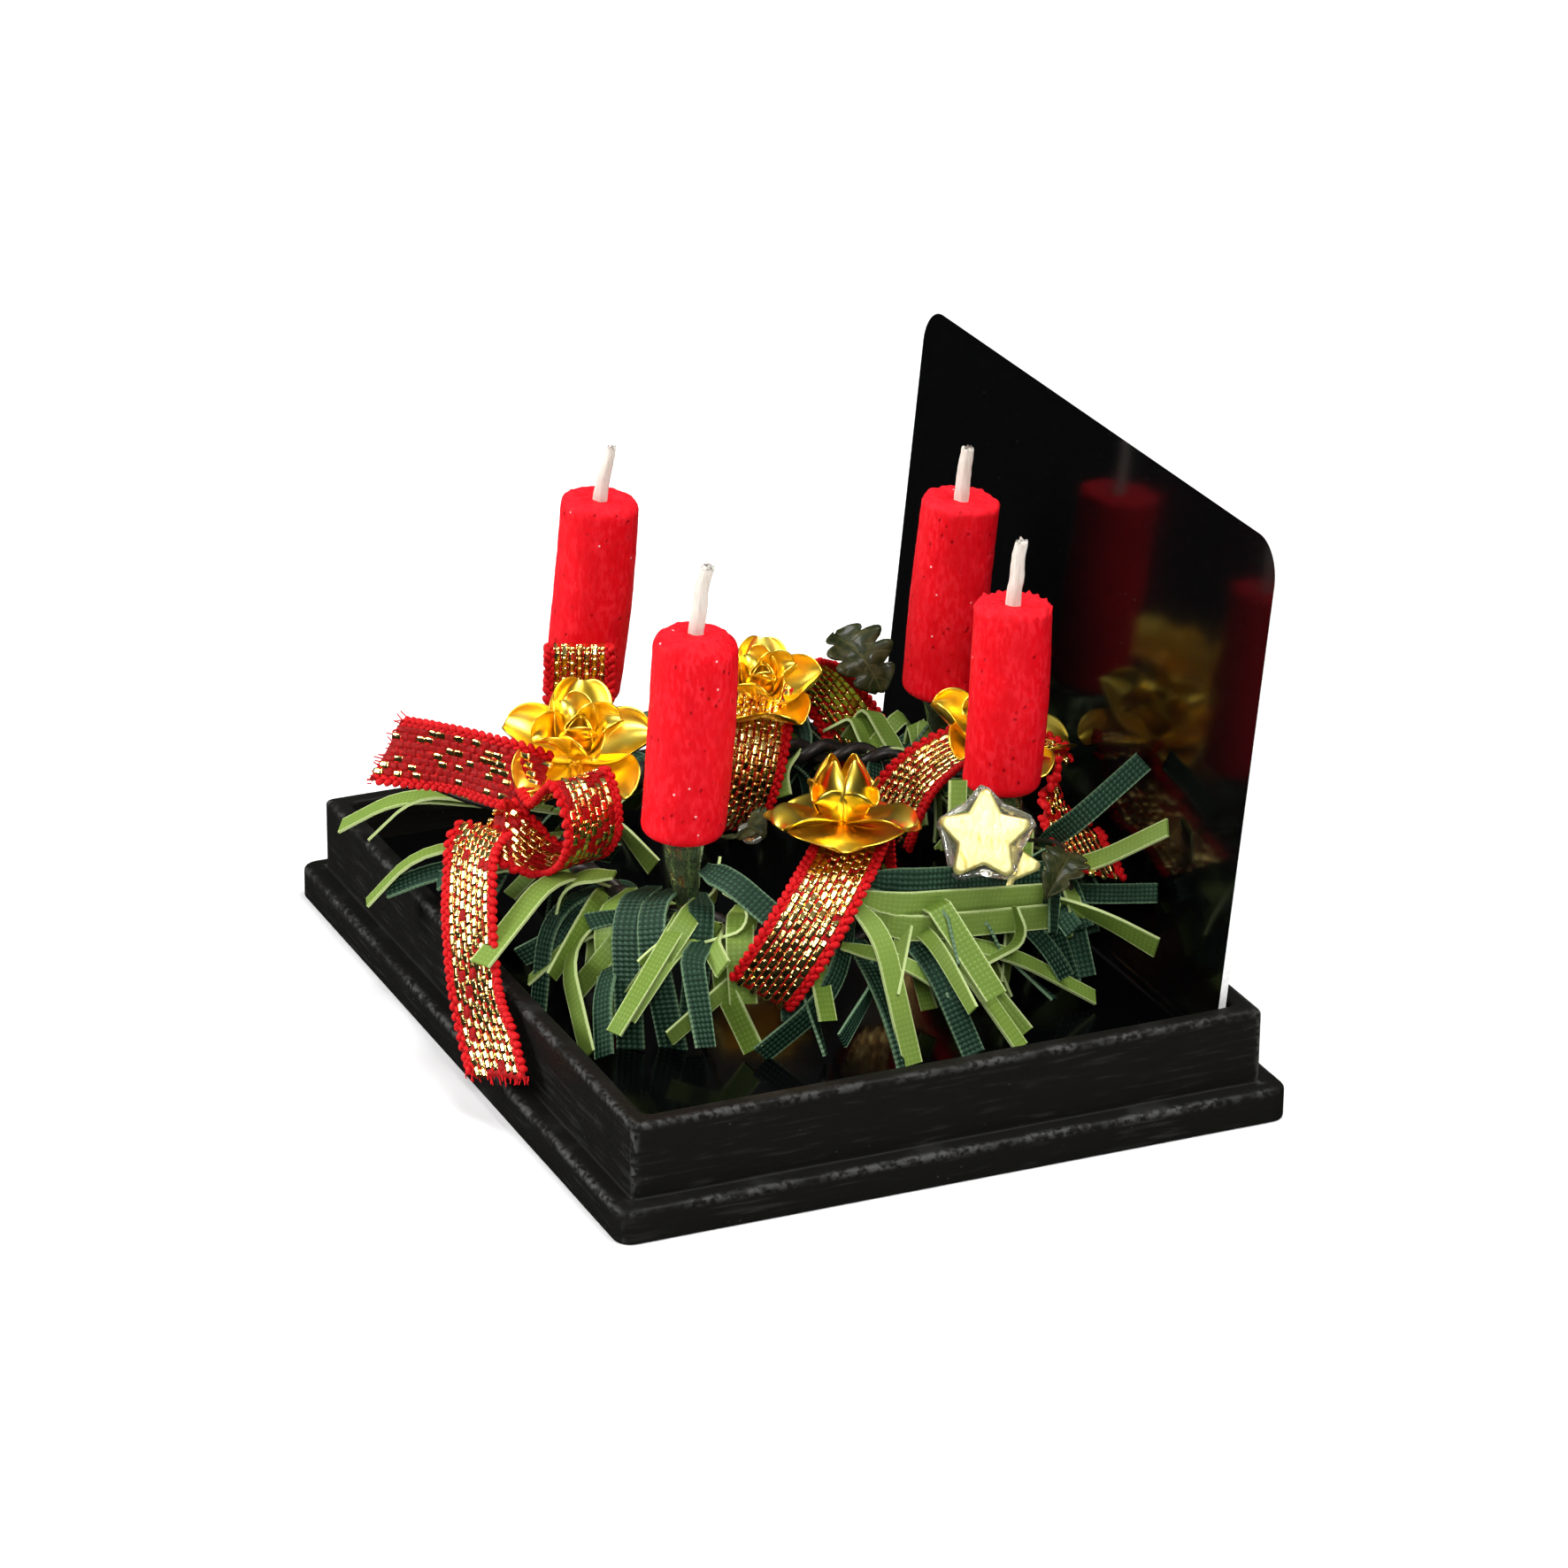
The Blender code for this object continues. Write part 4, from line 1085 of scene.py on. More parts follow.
@dataclass
class Candle:
    """One wax candle and its wick, in millimetres. The taper is how much the wick narrows."""

    number: int
    foot: Triple
    top: Triple
    radius: float
    shoulder: float
    crumble: float
    bow: Triple
    wick_rise: float
    lean: tuple[float, float]
    taper: float
    segments: int = 112
    spacing: float = 0.11 * MM
    base_round: float = 0.5 * MM
    wick_radius: float = 0.35 * MM
    wick_sunk: float = 1.4 * MM

    def axes(self) -> tuple[Vector, Vector, Vector, Vector, float]:
        """Return the foot, the direction up the candle, two directions across it and its height."""
        foot, top = Vector(self.foot) * MM, Vector(self.top) * MM
        along = (top - foot).normalized()
        first = along.orthogonal().normalized()
        return foot, along, first, along.cross(first), (top - foot).length

    def wax(self) -> bpy.types.Object:
        """Make the body: a turned form with a grainy skin and a crumbled top."""
        foot, along, first, second, height = self.axes()
        radius = self.radius * MM
        corners = (
            (0.02 * MM, 0.0, 0.0), (radius * 0.97, 0.0, self.base_round), (radius, height * 0.5, 0.0),
            (radius * 0.97, height, self.shoulder * MM), (0.02 * MM, height - 0.12 * MM, 0.0),
        )
        profile = spaced(rounded_path(corners, 6), self.spacing)
        points, top_shares = [], []
        for out, rise in profile:
            near_top = max(0.0, 1.0 - (height - rise) / (0.55 * MM))
            part = rise / height
            middle = foot + along * rise + Vector(self.bow) * MM * 4 * part * (1 - part)
            for step in range(self.segments):
                turn = 2 * math.pi * step / self.segments
                arm = first * math.cos(turn) + second * math.sin(turn)
                spot = middle + arm * out
                seed = 5.0 * self.number
                skin = 0.020 * lumps(spot, 0.9 * MM, seed) + 0.012 * lumps(spot, 0.28 * MM, seed)
                rim = near_top * max(0.0, out / radius - 0.25)
                bite = min(0.0, lumps(spot, 0.62 * MM, seed + 2.0)) * 0.6 + lumps(spot, 0.24 * MM, seed) * 0.3
                side = out / radius
                spot = spot + arm * (skin * side + bite * rim * self.crumble * 0.5) * MM
                spot = spot + along * (bite * rim * self.crumble + near_top * skin * 2.0) * MM
                points.append(spot)
                # how much the wax is painted lighter and rougher near the top, most at the rim
                top_shares.append(near_top * (0.5 + 0.5 * rim))
        rings = np.array(points).reshape(len(profile), self.segments, 3)
        mesh = loft(f"wax_{self.number}", rings)
        store_values(mesh, "top_share", top_shares)
        return add_piece(f"wax_{self.number}", mesh, CandleWax("candle_wax"))

    def wick(self) -> bpy.types.Object:
        """Make the wick: a flattened, fibrous stalk that narrows to a ragged tip."""
        foot, along, first, second, height = self.axes()
        top = foot + along * height
        sideways = Vector((*self.lean, 0.0)) * MM
        rise = self.wick_rise * MM
        sides, rows = 20, 40
        points, tips = [], []
        for row in range(rows + 1):
            part = row / rows
            run = -self.wick_sunk + (self.wick_sunk + rise) * part
            over = max(0.0, run / rise)
            kink = first * 0.10 * MM * lumps(along * run, 1.3 * MM, 3.0 * self.number) * min(1.0, 3.0 * over)
            middle = top + along * run + sideways * over ** 1.4 + kink
            narrow = 1.0 - self.taper * over
            for side in range(sides):
                turn = 2 * math.pi * side / sides
                ridge = 1.0 + 0.07 * math.cos(5 * turn + 2.0 * over) + 0.08 * lumps(middle, 0.3 * MM, side * 0.9)
                wide = self.wick_radius * narrow * ridge
                arm = first * math.cos(turn) * wide + second * math.sin(turn) * wide * 0.72
                torn = 0.30 * MM * lumps(Vector((side * 0.8, self.number, 0.0)), 1.0) if row == rows else 0.0
                points.append(middle + arm * (0.85 if row == rows else 1.0) + along * torn)
                tips.append(max(0.0, over - 0.92) / 0.08)
        rings = np.array(points).reshape(rows + 1, sides, 3)
        mesh = loft(f"cotton_wick_{self.number}", rings)
        store_values(mesh, "tip", tips)
        return add_piece(f"cotton_wick_{self.number}", mesh, WickCotton("wick_cotton"))

    def build(self) -> None:
        """Make and dress the candle and its wick."""
        dress(self.wax(), Slot.WAX, f"candle_{self.number}")
        dress(self.wick(), Slot.WICK, f"wick_{self.number}")


CANDLES = (
    Candle(1, (-11.2, -5.1, 11.8), (-10.6, -4.3, 21.7), 1.85, 0.40, 0.35, (0.05, 0.10, 0.0), 2.55, (0.15, 0.25), 0.40),
    Candle(2, (6.0, -7.2, 12.0), (6.3, -6.7, 21.6), 1.93, 0.80, 0.55, (0.0, 0.1, 0.0), 3.05, (0.1, 0.3), 0.12),
    Candle(3, (-4.6, 10.3, 12.0), (-4.2, 11.0, 21.7), 1.85, 0.22, 0.35, (0.0, -0.05, 0.0), 2.45, (-0.05, 0.1), 0.15),
    Candle(4, (6.7, 8.0, 12.0), (6.5, 8.5, 20.75), 1.8, 0.25, 1.2, (0.0, 0.1, 0.0), 2.85, (0.0, 0.2), 0.18),
)


@dataclass
class Ring:
    """The middle line of the garland's wire core."""

    centre: Vector = field(default_factory=lambda: Vector((-0.7, 1.5, 0.0)) * MM)
    radius: float = 10.5 * MM
    height: float = 7.6 * MM
    sectors: int = 8
    first_sector: float = 3.0

    def point(self, around: float, tilt: float = 0.0, reach: float = 0.0) -> Vector:
        """Return the point at an angle round the ring, and at an angle and distance from its core."""
        out = self.radius + reach * math.cos(math.radians(tilt))
        turn = math.radians(around)
        rise = reach * math.sin(math.radians(tilt))
        return self.centre + Vector((out * math.cos(turn), out * math.sin(turn), self.height + rise))

    def angle_of(self, point: Vector) -> float:
        """Return the angle round the ring at which a point lies, in degrees."""
        return math.degrees(math.atan2(point.y - self.centre.y, point.x - self.centre.x))

    def sector_of(self, point: Vector) -> int:
        """Return the number of the sector that a point lies in."""
        turn = (self.angle_of(point) - self.first_sector) % 360.0
        return int(turn // (360.0 / self.sectors))


@dataclass
class RibbonStrip:
    """One length of woven ribbon: its middle line, the way its width points and how it is cut."""

    middles: np.ndarray
    sides: np.ndarray
    slant: float = 0.0
    frayed: bool = False
    gold: float = 1.0

    def __post_init__(self) -> None:
        """Space the frames evenly and work out the face of the ribbon at each of them."""
        both = spaced(np.concatenate((self.middles, self.sides), axis=1), 0.1 * MM)
        self.middles = both[:, :3]
        self.aheads = unit(np.gradient(self.middles, axis=0))
        raw = both[:, 3:]
        self.sides = unit(raw - self.aheads * np.sum(raw * self.aheads, axis=1, keepdims=True))
        self.faces = np.cross(self.aheads, self.sides)
        steps = np.linalg.norm(np.diff(self.middles, axis=0), axis=1)
        self.runs = np.concatenate(([0.0], np.cumsum(steps)))

    @property
    def length(self) -> float:
        """Return the length of the middle line."""
        return float(self.runs[-1])

    def end_at(self, across: Any) -> Any:
        """Return where the slanted cut is at a distance across the ribbon."""
        return self.length - abs(self.slant) / 2 + self.slant * np.asarray(across) / RibbonWeave.width

    def frames_at(self, runs: Any, across: Any) -> tuple[np.ndarray, ...]:
        """Return place, ahead, side and face at distances along and across the ribbon."""
        runs = np.asarray(runs, float)
        pick = [
            np.stack([np.interp(runs, self.runs, data[:, axis]) for axis in range(3)], axis=-1)
            for data in (self.middles, self.aheads, self.sides, self.faces)
        ]
        middle, ahead, side, face = pick
        return middle + side * np.asarray(across, float)[..., None], unit(ahead), unit(side), unit(face)


@dataclass(frozen=True)
class Pillow:
    """One kind of float or knuckle of the weave.

    Its size is given along the ribbon, across it and through it. Its skew turns it in the ribbon's
    plane and its jitter is the spread of its tilt, both in radians.
    """

    size: Triple
    squareness: float
    jitter: float = 0.0
    skew: float = 0.0


class RibbonWeave:
    """The ribbon's weave: a red ground, gold and red floats on it and puffed red selvedges."""

    width: float = 3.4 * MM
    ground_thickness: float = 0.09 * MM
    row_pitch: float = 0.50 * MM
    column_pitch: float = 0.345 * MM
    columns: int = 7
    gold_float: Pillow = Pillow((0.56 * MM, 0.335 * MM, 0.17 * MM), 7.0, 0.09)
    red_dash: Pillow = Pillow((0.30 * MM, 0.085 * MM, 0.19 * MM), 2.5, 0.03)
    knuckle_pitch: float = 0.40 * MM
    knuckles: tuple[tuple[float, float, Pillow], ...] = (
        (1.475 * MM, 0.0, Pillow((0.50 * MM, 0.34 * MM, 0.34 * MM), 2.2, 0.12, 0.62)),
        (1.265 * MM, 0.5, Pillow((0.46 * MM, 0.23 * MM, 0.26 * MM), 2.2, 0.10, -0.30)),
    )
    fray_radius: float = 0.032 * MM
    frays: int = 26

    def __init__(self) -> None:
        """Build the trees that the weave needs."""
        self.pillows = pillow_recipe()
        self.threads = thread_recipe()
        self.gold = LurexGold("lurex_gold")
        self.yarn = RibbonYarn("ribbon_yarn")
        self.shade = RibbonYarn(
            "ribbon_shade", (0.34, 0.0012, 0.0018), (0.07, 0.0004, 0.0006), (0.60, 0.006, 0.005)
        )

    def ground(self, strips: Sequence[RibbonStrip], name: str) -> bpy.types.Object:
        """Make the thin ground sheet of some strips."""
        across = np.linspace(-1.0, 1.0, 9) * (self.width / 2 - 0.22 * MM)
        points, faces = [], []
        for strip in strips:
            rows = max(4, int(strip.length / (0.25 * MM)))
            ends = strip.end_at(across)
            start = len(points)
            for row in range(rows + 1):
                place, _, _, _ = strip.frames_at(ends * row / rows, across)
                points.extend(place)
            faces += [[start + corner for corner in face] for face in grid_faces(rows + 1, len(across))]
        item = add_piece(name, make_mesh(name, points, faces), self.shade)
        return thicken(item, self.ground_thickness)

    def woven(
        self, strip: RibbonStrip, columns: int, shift: float, share: tuple[float, float] = (0.0, 1.0)
    ) -> tuple[np.ndarray, np.ndarray]:
        """Return the distances along and across a strip of a share of the places of a brick pattern."""
        rows = int(strip.length / self.row_pitch) + 1
        column, row = np.meshgrid(np.arange(columns), np.arange(rows))
        across = (column - (columns - 1) / 2) * self.column_pitch
        along = (row + (column % 2) * 0.5 + shift) * self.row_pitch
        chance = np.random.default_rng(7).random(along.shape)
        inside = (along < strip.end_at(across) - self.row_pitch / 4) & (chance >= share[0]) & (chance < share[1])
        return along[inside], across[inside]

    def edge(self, strip: RibbonStrip, across: float, shift: float) -> tuple[np.ndarray, np.ndarray]:
        """Return the distances along and across a strip of a row of knuckles."""
        count = int(float(strip.end_at(across)) / self.knuckle_pitch - shift)
        along = (np.arange(count) + 0.4 + shift) * self.knuckle_pitch
        return along, np.full(count, across)

    def lay(
        self,
        spots: Sequence[tuple[RibbonStrip, np.ndarray, np.ndarray]],
        pillow: Pillow,
        finish: Finish,
        seed: int,
    ) -> bpy.types.Mesh:
        """Lay one kind of pillow on the ribbon.

        Args:
            spots: strips with distances along and across them.
            pillow: what is laid there.
            finish: what it is made of.
            seed: the seed of its tilts and tones.

        Returns:
            The mesh of all of them.
        """
        draw = np.random.default_rng(seed)
        parts = [strip.frames_at(along, across) for strip, along, across in spots]
        place, ahead, side, face = (np.concatenate(group) for group in zip(*parts))
        way = np.sign(np.concatenate([across for _, _, across in spots]))[:, None]
        ahead = ahead * math.cos(pillow.skew) + side * way * math.sin(pillow.skew)
        tilt = draw.normal(0.0, pillow.jitter, (len(place), 2))
        face = unit(face + side * tilt[:, :1] + ahead * tilt[:, 1:])
        mesh = bpy.data.meshes.new("spots")
        mesh.from_pydata(place.tolist(), [], [])
        store_values(mesh, "ahead", ahead)
        store_values(mesh, "face", face)
        store_values(mesh, "tone", draw.random(len(place)))
        store_values(mesh, "share", draw.uniform(0.93, 1.04, len(place)))
        return self.pillows.run(mesh, {"Size": pillow.size, "Squareness": pillow.squareness}, finish)

    def selvedges(self, strips: Sequence[RibbonStrip], name: str) -> bpy.types.Object:
        """Make the puffed threads along both edges and the loose fibres at frayed ends."""
        layers = []
        for number, (across, shift, pillow) in enumerate(self.knuckles):
            spots = [
                (strip, *self.edge(strip, sign * across, shift)) for strip in strips for sign in (-1.0, 1.0)
            ]
            layers.append(self.lay(spots, pillow, self.yarn, 30 + number))
        draw = np.random.default_rng(len(name))
        frays = [line for strip in strips if strip.frayed for line in self.fray_lines(strip, draw)]
        if frays:
            layers.append(self.wind(frays, 0.0, self.fray_radius, self.yarn))
        return add_piece(name, join_meshes(name, layers), self.yarn)

    def fray_lines(self, strip: RibbonStrip, draw: np.random.Generator) -> list[tuple[np.ndarray, ...]]:
        """Return the loose fibres at the strip's cut end."""
        lines = []
        for across in np.linspace(-0.48, 0.48, self.frays) * self.width:
            end = float(strip.end_at(across))
            place, ahead, side, face = (data[0] for data in strip.frames_at([end - 0.2 * MM], [across]))
            way = unit(ahead + side * draw.normal(0.0, 0.30) + face * draw.normal(0.0, 0.22))
            reach = draw.uniform(0.25, 0.62) * MM
            points = np.array([place + way * reach * part for part in (0.0, 0.5, 1.0)])
            points[2] += face * draw.normal(0.0, 0.07) * MM
            lines.append((points, np.tile(side, (3, 1)), np.tile(face, (3, 1)), np.zeros(3)))
        return lines

    def wind(
        self, lines: Sequence[tuple[np.ndarray, ...]], coil: float, thread: float, finish: Finish
    ) -> bpy.types.Mesh:
        """Make threads wound round some lines.

        Args:
            lines: points, sides, faces and phases of each line.
            coil: how far the thread swings from its line.
            thread: the thread's radius.
            finish: what it is made of.

        Returns:
            The mesh of the threads.
        """
        points, sides, faces, phases = (np.concatenate(group) for group in zip(*lines))
        edges, start = [], 0
        for line in lines:
            edges += [(start + step, start + step + 1) for step in range(len(line[0]) - 1)]
            start += len(line[0])
        mesh = bpy.data.meshes.new("lines")
        mesh.from_pydata(points.tolist(), edges, [])
        store_values(mesh, "side", sides)
        store_values(mesh, "face", faces)
        store_values(mesh, "phase", phases)
        return self.threads.run(mesh, {"Coil radius": coil, "Thread radius": thread, "Sides": 6}, finish)

    def weave(self, strips: Sequence[RibbonStrip], name: str, node: str) -> None:
        """Make and dress every layer of some strips that are one piece of ribbon."""
        dress(self.ground(strips, f"{name}_ground"), Slot.RIBBON, node)
        shares = [(strip, *self.woven(strip, self.columns, 0.3, (0.0, strip.gold))) for strip in strips]
        gold = self.lay(shares, self.gold_float, self.gold, 21)
        dress(add_piece(f"{name}_gold_floats", gold, self.gold), Slot.RIBBON)
        red = self.lay(
            [(strip, *self.woven(strip, self.columns + 1, 0.55)) for strip in strips], self.red_dash, self.yarn, 22
        )
        dress(add_piece(f"{name}_red_dashes", red, self.yarn), Slot.RIBBON)
        if min(strip.gold for strip in strips) < 1.0:
            rest = [(strip, *self.woven(strip, self.columns, 0.3, (strip.gold, 1.0))) for strip in strips]
            plain = self.lay(rest, self.gold_float, self.shade, 23)
            dress(add_piece(f"{name}_red_floats", plain, self.shade), Slot.RIBBON)
        dress(self.selvedges(strips, f"{name}_selvedges"), Slot.RIBBON)


@dataclass
class Bands:
    """The ribbon wound over the garland under three of the roses."""

    ring: Ring
    card: Card
    turns: tuple[Triple, ...] = ((163.0, 16.0, -38.0), (-12.0, 16.0, -16.0), (74.0, 36.0, 12.0))
    reach: float = 4.2 * MM
    last_tilt: float = 212.0
    steps: int = 42
    gap: float = 1.2 * MM

    def strip(self, around: float, skew: float, first_tilt: float) -> RibbonStrip:
        """Return the frames of one band, pressed flat by the card where it meets it."""
        route, across = [], []
        for step in range(self.steps + 1):
            tilt = first_tilt + (self.last_tilt - first_tilt) * step / self.steps
            turn = around + skew * (tilt - 90.0) / 90.0
            tangent = math.radians(turn + 90.0)
            side = Vector((math.cos(tangent), math.sin(tangent), 0.0))
            edge = abs(side.y) * RibbonWeave.width / 2 + self.gap
            reach = self.reach
            middle = self.ring.point(turn, tilt, reach)
            while middle.y + edge > self.card.on_back(middle.z - self.card.face_height)[0]:
                reach -= 0.05 * MM
                middle = self.ring.point(turn, tilt, reach)
            route.append(middle)
            across.append(side)
        return RibbonStrip(np.array(route), np.array(across))

    def strips(self) -> list[RibbonStrip]:
        """Return the frames of every band."""
        return [self.strip(*turn) for turn in self.turns]


@dataclass
class Bow:
    """The bow by the first rose: a loose tail, a curl, a tail over the rim and a standing loop."""

    curl_side: Triple = (-0.28, 0.96, 0.0)
    tail_side: Triple = (0.87, 0.42, 0.26)
    loop_side: Triple = (0.40, 0.91, 0.0)
    slant: float = 2.2 * MM

    def route(self, points: Sequence[Triple], sides: Sequence[Triple], **cut: Any) -> RibbonStrip:
        """Return the frames of one strip through points in millimetres."""
        middles = smooth_route([Vector(point) * MM for point in points], 12)
        across = smooth_route([Vector(side) for side in sides], 12)
        return RibbonStrip(np.array(middles), np.array(across), **cut)

    def strips(self) -> list[RibbonStrip]:
        """Return the frames of the bow's four strips."""
        left_tail = self.route(
            ((-2.8, -10.4, 11.4), (-4.4, -11.7, 11.6), (-7.4, -13.2, 11.4), (-10.9, -15.4, 10.9)),
            ((0.1, 0.8, 0.5), (0.1, 0.4, 0.85), (0.0, 0.1, 1.0), (0.10, 0.60, 0.78)),
            slant=-1.5 * MM, frayed=True, gold=0.30,
        )
        curl = self.route((
            (-3.0, -9.9, 11.3), (-1.2, -10.2, 11.5), (0.2, -10.3, 12.6), (1.6, -10.3, 13.4),
            (2.9, -10.3, 12.6), (3.2, -10.3, 11.2), (2.2, -10.5, 9.7), (0.6, -11.0, 9.0),
            (-0.8, -12.2, 9.5),
        ), (self.curl_side,) * 9, gold=0.72)
        front_tail = self.route((
            (-0.2, -11.9, 9.4), (-1.4, -13.4, 10.4), (-0.2, -14.7, 9.8), (1.6, -15.6, 8.2),
            (3.2, -16.1, 6.3), (4.3, -16.3, 4.8), (5.3, -16.35, 3.8), (6.4, -16.4, 3.1), (8.2, -16.6, 1.8),
        ), (self.curl_side, (0.3, 0.9, 0.1), *(self.tail_side,) * 7), slant=self.slant, frayed=True, gold=0.94)
        loop = self.route((
            (-3.2, -9.4, 11.3), (-5.6, -7.8, 11.3), (-7.6, -6.7, 11.8), (-8.4, -6.3, 13.2),
            (-8.5, -6.2, 14.9), (-8.75, -6.1, 15.3), (-9.05, -5.97, 15.0), (-9.1, -5.95, 14.2),
        ), (self.loop_side,) * 8)
        return [left_tail, curl, front_tail, loop]


class Green(Enum):
    """The two greens of the garland's strips."""

    DARK = "dark"
    LIGHT = "light"


STRIP_FINISHES = {
    Green.DARK: StripVinyl(
        "strip_dark", (0.0040, 0.019, 0.0095), (0.034, 0.084, 0.048), (0.15, 0.25, 0.14), 0.085 * MM, 1.0
    ),
    Green.LIGHT: StripVinyl(
        "strip_light", (0.115, 0.190, 0.024), (0.235, 0.335, 0.075), (0.50, 0.60, 0.26), 0.026 * MM, 0.45
    ),
}
STRIP_SLOTS = {Green.DARK: Slot.DARK, Green.LIGHT: Slot.LIGHT}


@dataclass
class CutStrip:
    """One strip of the garland, through three points, bent at the middle one."""

    green: Green
    root: Vector
    knee: Vector
    tip: Vector
    width: float = 1.2 * MM
    twist: float = 0.0
    tone: float = 0.4
    arc: float = 0.5

    def frame(self) -> tuple[Vector, Vector, Vector, float, float, float]:
        """Return the first direction, the way it turns, the width's direction, the bend, and the
        lengths before and after the bend."""
        lower, upper = self.knee - self.root, self.tip - self.knee
        first = lower.normalized()
        bend = max(first.angle(upper), 0.02)
        turn = upper - first * upper.dot(first)
        turn = turn.normalized() if turn.length > 1e-7 else first.orthogonal().normalized()
        return first, turn, first.cross(turn), bend, lower.length, upper.length

    def samples(self) -> np.ndarray:
        """Return points along the strip, leaving out its root."""
        parts = [self.root.lerp(self.knee, share) for share in (0.45, 0.7, 1.0)]
        parts += [self.knee.lerp(self.tip, share) for share in (0.25, 0.5, 0.75, 1.0)]
        return np.array(parts)


class Keepout:
    """The space that the other pieces take, which the strips bend clear of."""

    def __init__(self) -> None:
        """Start with nothing."""
        self.rods: list[tuple[Vector, Vector, float]] = []
        self.slabs: list[tuple[np.ndarray, np.ndarray, np.ndarray]] = []

    def add_rod(self, start: Vector, end: Vector, radius: float) -> None:
        """Add a round rod with round ends."""
        self.rods.append((start, end, radius))

    def add_ribbon(self, strip: RibbonStrip) -> None:
        """Add flat boxes along a strip of ribbon."""
        step = 8
        for index in range(0, len(strip.middles), step):
            axes = np.array((strip.sides[index], strip.faces[index], strip.aheads[index]))
            size = np.array((RibbonWeave.width / 2, 0.12 * MM, 0.75 * MM))
            self.slabs.append((strip.middles[index], axes, size))

    def add_box(self, middle: Vector, size: Triple) -> None:
        """Add an upright box of the given half sizes."""
        self.slabs.append((np.array(middle), np.eye(3), np.array(size)))

    def hits(self, points: np.ndarray, margin: float) -> bool:
        """Say whether any of the points is nearer than the margin to a piece."""
        for start, end, radius in self.rods:
            base, line = np.array(start), np.array(end - start)
            part = np.clip((points - base) @ line / (line @ line), 0.0, 1.0)
            if np.any(np.linalg.norm(points - base - part[:, None] * line, axis=1) < radius + margin):
                return True
        middles, axes, sizes = (np.array(group) for group in zip(*self.slabs))
        local = np.einsum("nij,pnj->pni", axes, points[:, None, :] - middles[None])
        return bool(np.any(np.all(np.abs(local) < sizes[None] + margin, axis=2)))


def in_mm(green: Green, root: Triple, knee: Triple, tip: Triple, **rest: float) -> CutStrip:
    """Return a strip placed one by one, in millimetres."""
    return CutStrip(green, Vector(root) * MM, Vector(knee) * MM, Vector(tip) * MM, **rest)


